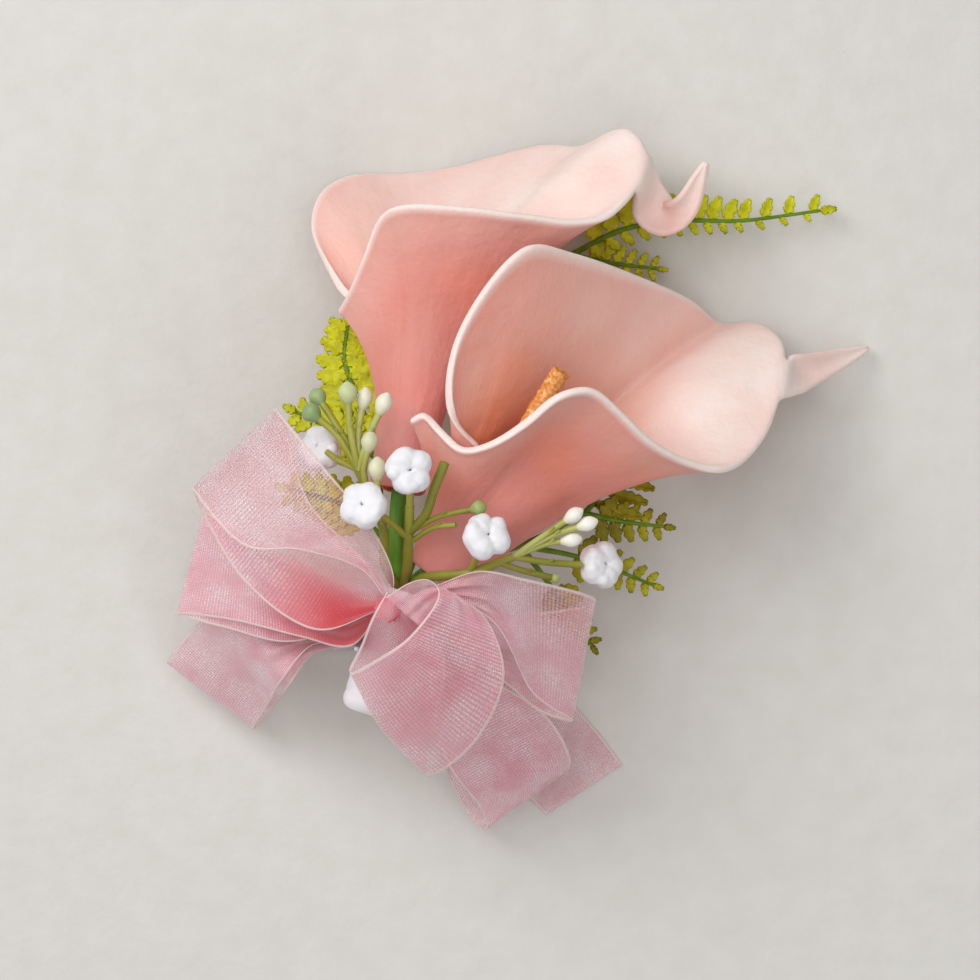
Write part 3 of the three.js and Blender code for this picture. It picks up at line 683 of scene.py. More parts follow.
def grainy(piece, size, height):
    """Pushes the points of a piece in and out by a fine noise."""
    normals = [vertex.normal.copy() for vertex in piece.data.vertices]
    for vertex, normal in zip(piece.data.vertices, normals):
        vertex.co += normal * noise.noise(vertex.co / size) * height


print("handle's middle:", [round(value, 1) for value in HANDLE_CENTRE], "mm")

# %% [markdown]
# The spadix is orange with light and dark grains. The stem is bright green, streaked along its length.

# %% Spadix and stem finishes
spadix_finish = Finish("spadix_finish", colour(246, 184, 96), 0.75)
spadix_finish.paint(spadix_finish.ramp(spadix_finish.noise(1300, 2), [
    (0.3, colour(210, 118, 40)), (0.5, colour(232, 158, 82)), (0.7, colour(250, 208, 146)),
]))
stem_finish = Finish("stem_finish", colour(96, 152, 40), 0.42)
stem_finish.paint(stem_finish.ramp(stem_finish.noise(90, 3, stretch=(6, 1, 6)), [
    (0.3, colour(70, 128, 24)), (0.7, colour(122, 178, 54)),
]))
print("spadix and stem finishes ready")

# %% Spadix and stem pieces
SPADIX_RADIUS = 1.8
STEM_RADIUS = 1.55
GRAIN_SIZE, GRAIN_HEIGHT = 0.5 * MM, 0.25 * MM
SPADIX = {
    "a": [(2.4, 28.1, 35.4), (4.4, 40.5, 33.5), (7, 54, 31)],
    "b": [(15.4, 18.5, 37.3), (20.6, 26.8, 40), (25.5, 36, 43), (31.5, 46, 45)],
}
STEM = {
    "a": (-1.75, [(0.8, 14.5, 35.5), (1.5, 23.5, 36), (2.2, 27.5, 35.5)]),
    "b": (1.75, [(8.1, 9.5, 36.3), (11.4, 13.6, 36.8), (15, 18, 37.2)]),
}
for key in "ab":
    spadix = tube(f"spadix_{key}", line_through(SPADIX[key]), SPADIX_RADIUS, 0.95, 90, 7)
    grainy(spadix, GRAIN_SIZE, GRAIN_HEIGHT)
    wear(spadix, spadix_finish)
    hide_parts(f"calla_{key}_spadix")
    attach(spadix, f"calla_{key}")
    across, places = STEM[key]
    route = [in_handle(across, MOUTH + 0.5, 0), in_handle(across, MOUTH + 2, 0), *places]
    stem = tube(f"stem_{key}", line_through(route), STEM_RADIUS, 1, 40, 7)
    wear(stem, stem_finish)
    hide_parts(f"calla_{key}_stem")
    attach(stem, f"calla_{key}")
    wear(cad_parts[f"calla_{key}_stem_end"], stem_finish)
print("spadices and stems placed")

# %% [markdown]
# ## Baby's breath
# A sprig is moulded in one piece: a forked stem, small side stubs and pear-shaped buds that pale from green
# to white. Each sprig has its place across the handle, the places of its main stem, and a list of twigs: the
# places, the radius, the size of the bud, where there is one, and how white it is.

# %% Sprig places
SPRIG_TWIGS = {
    "left": (-1.2, [(-1.2, 10, 41), (-1.5, 17, 44.5), (-6, 27.5, 47)], [
        ([(-6, 27.5, 47), (-10, 34, 47), (-14.5, 38, 46)], 0.62, 1.35, 0.05),
        ([(-6, 27.5, 47), (-9, 34, 46), (-13.5, 41, 43)], 0.62, 1.2, 0.1),
        ([(-6, 27.5, 47), (-7.5, 35, 48.5), (-8, 41.5, 49)], 0.62, 1.3, 0.35),
        ([(-6, 27.5, 47), (-6, 35, 47), (-5, 40.5, 47)], 0.62, 1.1, 0.75),
        ([(-6, 27.5, 47), (-4, 34, 49), (-1.5, 39.5, 50)], 0.62, 1.15, 0.8),
        ([(-6, 27.5, 47), (-10, 29.5, 44), (-12, 31, 42.6)], 0.5, 0, 0),
        ([(-1.5, 17, 44.5), (-2.5, 23, 49), (-2.5, 27.5, 50)], 0.6, 1.25, 0.6),
        ([(-3, 21, 45.6), (-5, 27, 48), (-4, 32.5, 49)], 0.6, 1.2, 0.5),
    ]),
    "middle": (0, [(3, 10, 42.5), (3.3, 16, 47), (3.5, 21, 49.5)], [
        ([(3.5, 21, 49.5), (3.6, 24, 51), (3.5, 27.5, 52.4)], 0.7, 0, 0),
        ([(3.2, 15, 46.3), (-1.5, 19, 50), (-5, 21, 52.4)], 0.62, 0, 0),
        ([(3.3, 16, 47), (6.5, 19.5, 50), (8, 24, 51.5), (10, 29, 52.5)], 0.85, 0, -0.5),
        ([(3.3, 16, 47), (9, 19, 50.5), (16, 20.5, 52.5)], 0.5, 1.1, -0.2),
        ([(3.2, 14, 45.6), (8, 17, 49.5), (12, 17.5, 51)], 0.5, 0, 0),
    ]),
    "right": (1.2, [(6, 7.6, 43.5), (14.5, 8.6, 48), (22.5, 11.5, 46.5)], [
        ([(22.5, 11.5, 46.5), (29, 16, 46), (33.5, 19, 46)], 0.55, 1, 1),
        ([(22.5, 11.5, 46.5), (30, 15.5, 45.5), (36, 17.5, 45.5)], 0.55, 1, 1),
        ([(22.5, 11.5, 46.5), (29, 14, 45), (33, 14.6, 44.5)], 0.55, 1, 1),
        ([(22.5, 11.5, 46.5), (29, 10.5, 44), (35.2, 10, 41.5)], 0.6, 0, 0),
        ([(14.5, 8.6, 48), (15.6, 11, 50), (16.6, 13.4, 51.4)], 0.6, 0, 0),
        ([(20, 10.4, 47.4), (25, 8.8, 46.6), (30.2, 7.6, 45)], 0.55, 0.7, -0.3),
    ]),
}
print("sprigs planned:", list(SPRIG_TWIGS))

# %% [markdown]
# A bud is a ball that is drawn out towards its stalk and gets three faint ridges. White buds are about to
# open, so they are longer. The tone written at each point says how white it is.

# %% Buds
BUD_RADIUS = 1.4


def bud_at(end, direction, size, whiteness):
    """A pear-shaped bud whose narrow end meets its stalk; white ones are longer and slimmer."""
    bpy.ops.object.select_all(action="DESELECT")
    bpy.ops.mesh.primitive_uv_sphere_add(segments=24, ring_count=16, radius=1, location=(0, 0, 0))
    bud = bpy.context.object
    turn = Vector((0, 0, 1)).rotation_difference(direction)
    tall = 1.15 + 0.6 * max(whiteness, 0)
    for vertex in bud.data.vertices:
        spot = vertex.co.copy()
        slim = 0.5 + 0.5 * smooth_step(-1, 0.25, spot.z)
        point = 1 - 0.25 * smooth_step(0.55, 1, spot.z)
        ridge = 1 + 0.06 * math.cos(3 * math.atan2(spot.y, spot.x)) * smooth_step(-0.4, 0.6, spot.z)
        wide = slim * point * ridge
        spot = Vector((spot.x * wide, spot.y * wide, spot.z * tall)) * BUD_RADIUS * size * MM
        vertex.co = end + turn @ spot
    only(bud)
    bpy.ops.object.shade_smooth()
    reach = BUD_RADIUS * size * MM * tall

    def tone(spot):
        if whiteness <= 0:
            return 0.4 + 0.2 * whiteness
        return 0.42 + 0.58 * whiteness * smooth_step(-1.2, -0.1, (spot - end).dot(direction) / reach)

    set_tone(bud, tone)
    return bud


print("bud shape ready")

# %% [markdown]
# Sprigs and ferns are bound in with the lilies, so each has a thin run of stem inside the handle and then
# follows its own places. Tubes make the stem and twigs, and each twig has a short stub at its side, as
# moulded sprigs do.

# %% Sprig stems
STUB_LEAN = Vector((0.5, 0.8, 1.2))
STUB_LENGTH = 0.8 * MM
HIDDEN_STEM = 20
HIDDEN_RADIUS = 0.45
SPRIG_LEVEL = 2.6


def stem_in_handle(name, across, level):
    """The thin run of a stem inside the handle, and the place where it comes out."""
    start = in_handle(across, MOUTH - HIDDEN_STEM, level)
    rod = tube(name, line_through([start, in_handle(across, MOUTH + 1, level)]), HIDDEN_RADIUS, 1, 2)
    return rod, in_handle(across, MOUTH + 0.5, level)


def make_sprig(name, across, trunk, twigs):
    """One sprig: its stem in the handle, its forks, stubs and buds."""
    hidden, lead = stem_in_handle("twig", across, SPRIG_LEVEL)
    rods = [hidden, tube("twig", line_through([lead, *trunk]), 1, 0.85, 24)]
    for rod in rods:
        set_tone(rod, lambda spot: 0.12 + 0.1 * noise.noise(spot * 120))
    buds = []
    for places, radius, size, whiteness in twigs:
        line = line_through(places)
        middle = line(0.5)
        stub = middle + (STUB_LEAN + direction_of(line, 0.5)) * STUB_LENGTH
        twig = [
            tube("twig", line, radius, 1.1, 14),
            tube("twig", line_through([tuple(middle / MM), tuple(stub / MM)]), 0.45, 0.5, 2),
        ]
        for rod in twig:
            set_tone(rod, lambda spot: 0.14 + 0.16 * min(whiteness, 0.8) + 0.1 * noise.noise(spot * 120))
        rods += twig
        if size:
            buds.append(bud_at(line(1), direction_of(line, 1), size, whiteness))
    sprig = join(f"sprig_{name}_piece", rods + buds)
    print(sprig.name, len(sprig.data.polygons), "faces")
    return sprig


# %% [markdown]
# The plastic of the sprigs is olive at the stems and pale green to white at the buds. The tone picks the
# shade, and a soft mottle keeps the stems from looking painted.

# %% Sprig finish
sprig_finish = Finish("sprig_finish", colour(160, 168, 84), 0.45)
sprig_shades = sprig_finish.ramp(sprig_finish.attribute("tone"), [
    (0.0, colour(106, 110, 30)), (0.15, colour(158, 156, 62)), (0.3, colour(190, 192, 120)),
    (0.42, colour(124, 154, 104)), (0.62, colour(206, 212, 170)), (0.8, colour(234, 232, 208)),
    (1.0, colour(247, 244, 238)),
])
sprig_mottle = sprig_finish.ramp(sprig_finish.noise(160, 4), [
    (0.3, colour(140, 150, 70)), (0.8, colour(236, 238, 214)),
])
sprig_finish.paint(sprig_finish.mix(0.35, sprig_shades, sprig_mottle, "SOFT_LIGHT"))
sprig_finish.set("Subsurface Weight", 0.08)
sprig_finish.set("Subsurface Radius", (0.001, 0.0012, 0.0006))
for name, (across, trunk, twigs) in SPRIG_TWIGS.items():
    sprig = make_sprig(name, across, trunk, twigs)
    wear(sprig, sprig_finish)
    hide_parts(f"sprig_{name}")
    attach(sprig, "bound_bunch")

# %% [markdown]
# A blossom is a small soft puff: five large lobes and a few small ones crowd round a slit with a green dot.
# Each lobe is thought of as a ball beside the middle, and every point of a ball of points is moved out to
# the outermost lobe, with soft creases where lobes meet. Lobes differ from blossom to blossom.

# %% Lobes
CREASE_SHARPNESS = 16


def lobes_of(number):
    """Middles and radii of a blossom's lobes, in blossom radii."""
    lobes = []
    for index in range(5):
        wobble = noise.noise(Vector((index * 3.1, number * 2.3, 0.5)))
        angle = 2 * math.pi * (index + 0.45 * wobble) / 5
        lobes.append((Vector((math.cos(angle) * 0.46, math.sin(angle) * 0.46, 0.06 + 0.14 * wobble)), 0.5))
    for index in range(4):
        wobble = noise.noise(Vector((index * 2.7, number * 4.1, 7.5)))
        angle = 0.9 + 0.75 * index + wobble
        lobes.append((Vector((math.cos(angle) * 0.62, math.sin(angle) * 0.62, 0.3)), 0.27 + 0.06 * wobble))
    lobes.append((Vector((0, 0, -0.35)), 0.42))
    return lobes


def reach_of(lobes, direction):
    """How far the lobes reach from the middle along a direction."""
    total = 0
    for middle, radius in lobes:
        ahead = middle.dot(direction)
        inside = ahead * ahead - middle.length_squared + radius * radius
        far = ahead + math.sqrt(inside) if inside > 0 else 0.3 + 0.3 * max(ahead, 0)
        total += math.exp(CREASE_SHARPNESS * far)
    return math.log(total) / CREASE_SHARPNESS


print("lobes of the first blossom:", len(lobes_of(1)))

# %% [markdown]
# Each blossom has its place and the way it faces. A pit with a green floor is pressed into its middle, and a
# Smooth modifier softens the creases between the lobes.

# %% Blossoms
BLOSSOM_RADIUS = 4.8
BLOSSOMS = {
    1: ((3.5, 27.5, 56.6), (0.1, 0.05, 1)), 2: ((-5, 21, 56.6), (-0.15, 0.2, 1)),
    3: ((17.5, 15, 55.4), (0.3, 0.45, 0.8)), 4: ((38.8, 10, 38.5), (0.5, 0.1, 0.7)),
    5: ((-13, 31.5, 38.6), (-0.4, 0.3, 0.7)),
}
PIT_WIDTH = 0.19
PIT_DEPTH = 0.3


def make_blossom(number, centre, facing):
    """One blossom, facing the given way."""
    bpy.ops.object.select_all(action="DESELECT")
    bpy.ops.mesh.primitive_uv_sphere_add(segments=80, ring_count=52, radius=1, location=(0, 0, 0))
    puff = bpy.context.object
    puff.name = f"blossom_{number}_piece"
    turn = Vector((0, 0, 1)).rotation_difference(Vector(facing).normalized())
    spin = Quaternion((0, 0, 1), number * 1.9)
    shift = Vector((number * 5.3, number * 2.1, 0))
    place = Vector(centre) * MM
    lobes = lobes_of(number)
    tones = []
    for vertex in puff.data.vertices:
        spot = vertex.co.copy()
        slit = math.hypot(spot.x * 1.9, spot.y)
        pit = math.exp(-((slit / PIT_WIDTH) ** 2)) if spot.z > 0 else 0
        uneven = 1 + 0.04 * noise.noise(spot * 4 + shift)
        reach = reach_of(lobes, spot) * uneven - PIT_DEPTH * pit
        vertex.co = place + turn @ (spin @ (spot * reach * BLOSSOM_RADIUS * MM))
        tones.append(smooth_step(0.35, 0.8, pit))
    write_values(puff, "tone", tones)
    apply_modifier(puff, "SMOOTH", factor=0.4, iterations=2)
    only(puff)
    bpy.ops.object.shade_smooth()
    return puff


blossom_finish = Finish("blossom_finish", colour(240, 240, 242), 0.55)
blossom_finish.paint(blossom_finish.ramp(blossom_finish.attribute("tone"), [
    (0.0, colour(240, 239, 243)), (0.4, colour(214, 214, 216)), (0.75, colour(150, 166, 120)),
    (1.0, colour(84, 106, 52)),
]))
blossom_finish.bump(blossom_finish.noise(500, 3), 0.0002, 0.25)
blossom_finish.set("Subsurface Weight", 0.15)
blossom_finish.set("Subsurface Radius", (0.002, 0.002, 0.002))
for number, (centre, facing) in BLOSSOMS.items():
    puff = make_blossom(number, centre, facing)
    wear(puff, blossom_finish)
    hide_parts(f"blossom_{number}")
    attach(puff, "bound_bunch")
print("blossoms placed")

# %% [markdown]
# ## Fern
# A fern frond is a rib with slim leaflets in pairs, moulded in soft yellow-green plastic. Each fern has its
# place across the handle, the places of its stem, its brightness, and its fronds: the places of the rib,
# where the leaflets begin, how many pairs there are, how long and how slim the leaflets are, and how long
# those on the right side are beside those on the left.

# %% Fern places
FERNS = {
    "top": (0, [(6, 16, 26), (18, 42, 12), (33.5, 68.5, 7)], 1.05, [
        ([(33.5, 68.5, 7), (44, 73.5, 8), (55.5, 75, 8), (65.5, 75, 7), (81, 77, 5)],
         0.06, 13, 7.4, 0.29, 0.55),
        ([(33.5, 68.5, 7), (41.5, 67, 6), (50, 66, 5)], 0.15, 6, 5, 0.24, 1),
    ]),
    "left": (-1.2, [(-1.6, 15, 30), (-2.5, 29.5, 26)], 1.05, [
        ([(-2.5, 29.5, 26), (-6, 40, 23), (-9, 48, 21), (-8.5, 54.5, 20)], 0.05, 9, 8.5, 0.33, 1),
        ([(-2.5, 29.5, 26), (-9, 34, 25), (-18, 38.5, 24)], 0.2, 7, 6.5, 0.33, 1),
        ([(-1.6, 15, 30), (-9, 21, 30), (-19, 24, 30)], 0.2, 7, 7, 0.33, 1),
    ]),
    "right": (1.2, [(9, 9.5, 29.5), (24, 13.5, 26), (36, 19.5, 23)], 0.5, [
        ([(36, 19.5, 23), (42, 26, 17.4), (49, 33, 15)], 0.05, 5, 10, 0.16, 1),
        ([(36, 19.5, 23), (43, 18, 21), (51, 17, 19)], 0.12, 5, 5.2, 0.3, 1),
        ([(24, 13.5, 26), (36, 11, 20), (49, 6, 15)], 0.4, 6, 5.2, 0.3, 1),
        ([(24, 13.5, 26), (31, 4, 20), (37.5, -5.5, 14)], 0.4, 6, 4.6, 0.3, 1),
    ]),
}
print("fronds planned:", {name: len(fern[-1]) for name, fern in FERNS.items()})

# %% [markdown]
# Each leaflet is lobed like a small frond itself: a grid with a scalloped edge and a sunk midrib. Leaflets
# lean forward along the rib and get shorter towards its tip. They are joined before they get their wall, so
# that one modifier serves them all.

# %% Leaflets and fronds
LOBES_PER_MM = 0.45
LEAFLET_LEAN = 62
LEAN_VARIES = 7
FROND_TAPER = 0.55
LEAFLET_TILT = 0.18
LEAF_WALL = 0.5 * MM
FERN_LEVEL = -2.6
RIB_RADIUS = 0.6


def leaflet(length, slim, turn, place, tilt):
    """One lobed leaflet, turned about Z and moved to its rib."""
    blade = new_grid("leaflet", 40, 6)
    rotate = Matrix.Rotation(turn, 3, "Z") @ Matrix.Rotation(tilt, 3, "X")
    lobes = max(round(length * LOBES_PER_MM), 2) + 0.5

    def shape(u, v):
        across = 2 * v - 1
        outline = min(1, 2.2 * u + 0.35) * math.sqrt(max(1 - u**5, 0)) * (1 - 0.35 * u)
        scallop = 0.48 + 0.62 * abs(math.sin(math.pi * lobes * u)) ** 0.7
        half = slim * length * outline * scallop + 0.05
        lift = 0.05 * length * abs(across) ** 1.5 - 0.1 * length * u * u
        forward = 0.1 * length * abs(across) * (1 - u)
        return rotate @ (Vector((u * length * 0.95 + forward, across * half, lift)) * MM) + place

    shape_grid(blade, shape)
    return blade


def make_fern(name, across, stem, brightness, fronds):
    """One fern: its stem in the handle, its ribs and its leaflets."""
    hidden, lead = stem_in_handle("rib", across, FERN_LEVEL)
    ribs = [hidden, tube("rib", line_through([lead, *stem]), RIB_RADIUS, 0.9, 24)]
    blades = []
    for places, begin, pairs, length, slim, right_share in fronds:
        line = line_through(places)
        ribs.append(tube("rib", line, RIB_RADIUS, 0.5, 24))
        for pair in range(pairs):
            t = begin + (1 - begin) * (pair + 0.5) / pairs
            along = direction_of(line, t)
            heading = math.atan2(along.y, along.x)
            size = length * (1 - FROND_TAPER * pair / pairs)
            for hand in (-1, 1):
                reach = size * (right_share if hand < 0 else 1)
                varies = LEAN_VARIES * noise.noise(Vector((pair, hand, length)))
                lean = math.radians(LEAFLET_LEAN + varies) * hand
                root = line(min(t + 0.01 * hand, 1))
                blades.append(leaflet(reach, slim, heading + lean, root, LEAFLET_TILT * hand))
        end = direction_of(line, 1)
        blades.append(leaflet(length * 0.45, slim, math.atan2(end.y, end.x), line(1), 0))
    leaves = join("leaves", blades)
    set_tone(leaves, lambda spot: max(
        brightness + 0.3 * noise.noise(spot * 90) + 0.2 * noise.noise(spot * 300), 0.33))
    for rib in ribs:
        set_tone(rib, lambda spot: 0.1)
    apply_modifier(leaves, "SOLIDIFY", thickness=LEAF_WALL, offset=0, use_even_offset=False)
    fern = join(f"fern_{name}_piece", [leaves, *ribs])
    print(fern.name, len(fern.data.polygons), "faces")
    return fern


# %% [markdown]
# The ribs are plain green, and the leaflets run from olive to a bright yellow-green, which differs from fern
# to fern. The tone gives the shade, and fine spots break it up.

# %% Fern finish
fern_finish = Finish("fern_finish", colour(176, 178, 40), 0.45)
leaf_shades = fern_finish.ramp(fern_finish.attribute("tone"), [
    (0.1, colour(112, 150, 38)), (0.35, colour(140, 128, 8)), (0.65, colour(184, 178, 8)),
    (0.95, colour(216, 216, 22)),
])
leaf_spots = fern_finish.ramp(fern_finish.noise(420, 3), [(0.3, colour(210, 210, 150)), (0.7, grey(1))])
fern_finish.paint(fern_finish.mix(1.0, leaf_shades, leaf_spots, "MULTIPLY"))
fern_finish.bump(fern_finish.noise(700, 2), 0.0003, 0.4)
fern_finish.set("Specular IOR Level", 0.25)
fern_finish.set("Subsurface Weight", 0.1)
fern_finish.set("Subsurface Radius", (0.0012, 0.0014, 0.0004))
for name, (across, stem, brightness, fronds) in FERNS.items():
    fern = make_fern(name, across, stem, brightness, fronds)
    wear(fern, fern_finish)
    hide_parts(f"fern_{name}")
    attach(fern, "bound_bunch")

# %% [markdown]
# ## Organza bow
# The bow is one sheer ribbon, 20 mm wide, looped to and fro and gathered at a tie. Each loop is a sheet
# between its two selvages. A strip could be bent and twisted into a loop, but its edges would miss those in
# the photograph, so both selvages are drawn as lines, from the tie out to the bend and back.

# %% Ribbon edges
RIBBON_WIDTH = 20 * MM
RIBBON_WALL = 0.16 * MM
TIE_CENTRE = Vector((-0.5, 2, 0)) * MM
TIE_RADIUS = 2.4 * MM
CENTRE_LOOP = "bow_loop_right_1"
RIBBONS = {
    "bow_loop_left_1": (
        [(0.5, 4, 55), (0.5, 8.5, 54), (-3.5, 17, 51.8), (-12.5, 28.5, 54.5), (-20, 37.5, 48.5),
         (-21.5, 39, 42), (-20, 36.5, 36), (-15.5, 22, 37.5), (-5.5, 11.5, 45), (0, 3.5, 52.5)],
        [(-0.5, 3.5, 55), (-5.5, 9.5, 57), (-16.5, 13, 58.5), (-26.5, 13.5, 57), (-36, 23, 48.5),
         (-37, 24.5, 42), (-35.5, 20, 37), (-27.5, 7, 38), (-14, -2, 45), (-1.5, 2, 52.5)],
    ),
    "bow_loop_left_2": (
        [(-1.5, 3, 49.5), (-9, 6, 42.5), (-19, 11.5, 35.5), (-28.5, 16.5, 29), (-35.5, 20, 22),
         (-29.5, 15.5, 25), (-19, 9.5, 32.5), (-9.5, 5, 39.5), (-1.5, 2.5, 47.5)],
        [(-2, 1.5, 49.5), (-7.5, -5, 43.5), (-17, -3.5, 36.5), (-29.5, -0.5, 30.5), (-40.5, 0.5, 22),
         (-31, -2, 28.3), (-20, -4.5, 32.5), (-10, -2, 39.7), (-2, 1, 47.5)],
    ),
    "bow_loop_left_3": (
        [(-1.5, 2, 45.5), (-11.5, -0.5, 35), (-21, 0, 29.5), (-31.5, 1.5, 26), (-38.5, -3, 16), (-43, -9, 7),
         (-37, -4.5, 9.5), (-32, -0.5, 23), (-21, -1, 27.8), (-11.5, -1, 33.3), (-1.5, 1.5, 44)],
        [(-1.5, 0.5, 45.5), (-9, -4, 36.5), (-15.5, -5.5, 30), (-20.5, -11.5, 28), (-23.5, -16.5, 18),
         (-26.5, -21.5, 7), (-22.5, -17, 6), (-19.5, -13, 25.5), (-15, -7, 28.2), (-9, -5, 33.5),
         (-1.5, 0, 44)],
    ),
    "bow_loop_right_1": (
        [(-0.8, 4.2, 58), (3.6, 6.9, 58.2), (6.8, 7.4, 59), (8.8, 5, 60), (3.5, -3, 60.5), (-1.5, -6.5, 59.5),
         (-7.5, -9.5, 54), (-5.4, -4.6, 55.5), (-3.4, 0.3, 57.6), (-0.6, 5.2, 57.6)],
        [(5.5, -1.2, 57.9), (8.5, 2.2, 58), (11.5, 4.2, 58.4), (17, 1, 58), (21, -10, 54), (15, -23.5, 44),
         (6.5, -29, 36.5), (8.5, -18, 39), (10, -8, 47), (5.6, 0.9, 57.5)],
    ),
    "bow_loop_right_2": (
        [(1, 3, 54.5), (9, 6.5, 55), (16, 9, 56), (25, 7.5, 52), (38, 3.5, 38), (31.5, 1.5, 31),
         (20, 1, 35), (9, 1.5, 41), (1, 2.5, 48)],
        [(1.5, 2, 54.5), (11, 3.5, 53), (19, -0.5, 52), (26, -13.5, 44), (33.5, -19.5, 31), (28.5, -18, 29.5),
         (21, -12, 36), (10, -4, 41), (1.5, 1.5, 48)],
    ),
    "bow_loop_right_3": (
        [(1, 1.5, 45), (9, -4, 39.2), (18, -11, 33.5), (29, -18.5, 26), (33.5, -27, 17), (32.5, -29.5, 13),
         (30.5, -26, 11), (20, -13.5, 24), (10, -5.5, 36.3), (5.5, -2, 40.3), (1, 1, 43.3)],
        [(0.5, 0.5, 45), (3, -6.5, 41.8), (6.5, -16, 34), (10.5, -28, 24), (16.5, -36.5, 14.5),
         (17.5, -41, 9), (14.5, -38.5, 5), (9.5, -28.5, 14), (5, -14, 31), (2.4, -7, 39.4), (0, 0.5, 43.3)],
    ),
    "bow_tail": (
        [(1, 1, 40.8), (5, -0.5, 38.5), (10, -2.2, 35), (16, -5, 30), (20, -7.6, 26.7), (27.5, -11.5, 8),
         (34, -17, 2), (39, -22.5, 1), (43.5, -28.5, 1)],
        [(0.5, 0.5, 40.8), (2.5, -3, 39), (4.8, -6, 36.8), (7, -9.5, 30.5), (11, -14, 22), (20, -27.5, 6),
         (26, -35, 1.5), (27.5, -36.5, 1), (29, -38, 1)],
    ),
}
print("ribbons drawn:", len(RIBBONS))

# %% [markdown]
# Near the tie the ribbon's full width is squeezed into a few millimetres, so uneven folds are pushed into the
# sheet there, and they fade out along the loop. The front loop's bend bulges a little, as soft ribbon does. A
# value at each point gives the painted shade round the tie: a deeper pink that stands in for the shade and
# the stacked layers where the loops crowd together.

# %% Ribbon sheets
# how deep the folds at the tie are, how much painted shade (a deeper pink) it gets there going out and coming
# back, and how close its threads lie: the upper left loop is pulled smooth, and shows more of what lies
# behind it
FOLDS = {
    "bow_loop_left_1": (0.1, 0.15, 1, 0.55), "bow_loop_left_2": (0.5, 0.9, 0.9, 1),
    "bow_loop_left_3": (0.6, 0.5, 0.5, 1), "bow_loop_right_1": (0.1, 0.1, 0.25, 1),
    "bow_loop_right_2": (0.5, 0.25, 0.5, 0.9), "bow_loop_right_3": (0.55, 0.4, 0.4, 1),
    "bow_tail": (0.55, 0.3, 0.3, 0.9),
}
FOLD_COUNT = 3
BULGE = Vector((-1.35, -0.95, 0)) * MM
BULGE_AT = 0.667
BULGE_SPREAD = 0.12
RIPPLE = 0.5 * MM
TIE_SHADE_REACH = (28 * MM, 9 * MM)
RIBBON_COLUMNS, RIBBON_ROWS = 160, 36
LENGTH_STEPS = 80
INSIDE_TIE = TIE_RADIUS * 0.55


def from_tie(spot):
    """How far a place is from the tie's axis."""
    return (Vector((*spot.xy, 0)) - TIE_CENTRE).length


def make_ribbon(name, near_points, far_points):
    """One loop or tail of ribbon between its two selvages; also gives its length."""
    near, far = line_through(near_points), line_through(far_points)
    shift = len(name) * 1.7 + ord(name[-1])
    fold_depth, shade_out, shade_back, closeness = FOLDS[name]

    def gather(u):
        return min(max(1 - (far(u) - near(u)).length / RIBBON_WIDTH, 0), 1)

    def place(u, v):
        start, end = near(u), far(u)
        spot = start.lerp(end, v)
        if name == CENTRE_LOOP:
            near_bend = math.exp(-(((u - BULGE_AT) / BULGE_SPREAD) ** 2))
            spot = spot + BULGE * math.sin(math.pi * v) * near_bend
        width = (end - start).length
        ahead, behind = min(u + 0.004, 1), max(u - 0.004, 0)
        normal = ((near(ahead) + far(ahead)) - (near(behind) + far(behind))).cross(end - start)
        if normal.length < 1e-12:
            return spot
        uneven = v + 0.16 * noise.noise(Vector((v * 2.3, shift, u)))
        fold = math.sin(2 * math.pi * FOLD_COUNT * uneven + shift) * math.sin(math.pi * v) ** 0.5
        depth = fold_depth * width / FOLD_COUNT * smooth_step(0.1, 0.65, gather(u))
        ripple = noise.noise(Vector((u * 7, v * 1.8, shift))) * RIPPLE * math.sin(math.pi * u)
        return spot + normal.normalized() * (fold * depth + ripple)

    # painted shade round the tie: a deeper pink for the shade and the stacked layers, strongest near the tie
    def painted_tie_shade(u, v):
        coming_back = smooth_step(0.42, 0.6, u)
        depth = shade_out * (1 - coming_back) + shade_back * coming_back
        depth *= smooth_step(*TIE_SHADE_REACH, from_tie(place(u, v)))
        return depth * (0.25 + 0.75 * smooth_step(0.2, 0.7, v))

    piece = new_grid(f"{name}_piece", RIBBON_COLUMNS, RIBBON_ROWS)
    shares = [step / LENGTH_STEPS for step in range(LENGTH_STEPS + 1)]
    steps = [(near(share) + far(share)) / 2 for share in shares]
    length = sum((end - start).length for start, end in zip(steps, steps[1:]))
    for corner in piece.data.uv_layers.active.data:
        corner.uv = (corner.uv.x * length / RIBBON_WIDTH, corner.uv.y)
    set_tone(piece, lambda spot: painted_tie_shade(spot.x, spot.y))
    write_values(piece, "closeness", [closeness] * len(piece.data.vertices))
    shape_grid(piece, place)
    if name != CENTRE_LOOP:
        delete_where(piece, piece.data.vertices, "VERT", lambda point: from_tie(point.co) < INSIDE_TIE)
    area = sum(face.area for face in piece.data.polygons)
    apply_modifier(piece, "SOLIDIFY", thickness=RIBBON_WALL, offset=0, use_even_offset=False)
    flat = length * RIBBON_WIDTH
    print(name, "length", round(length / MM), "mm, cloth share", round(area / flat, 2))
    return piece, length


print("ribbon sheet ready")

# %% [markdown]
# Organza is woven from fine shiny yarn with gaps between the threads, so the table shows through it. The
# ribbon's UV map is measured in ribbon widths, which lets two sets of fine waves draw the threads at their
# true pitch along and across the ribbon. Where threads lie, the cloth is more opaque. The glints are painted
# highlight: broad patches are painted lighter, as if lit, and white specks in them are painted glints. The
# gaps are a deeper pink, partly the cloth's colour and partly painted light bounced between the layers. Seen
# edge on, the threads close up. The selvage is dense and pale.

# %% Organza finish
THREADS = 40
organza = Finish("organza", colour(238, 176, 188), 0.4)
cloth_axes = organza.cloth_axes()


def threads(axis):
    """A wave from 0 to 1 across each thread, along one axis of the cloth."""
    wave = organza.add("ShaderNodeMath", operation="SINE")
    organza.link(organza.maths("MULTIPLY", cloth_axes[axis], THREADS * 2 * math.pi), wave.inputs[0])
    return organza.maths("ADD", organza.maths("MULTIPLY", wave.outputs[0], 0.5), 0.5)


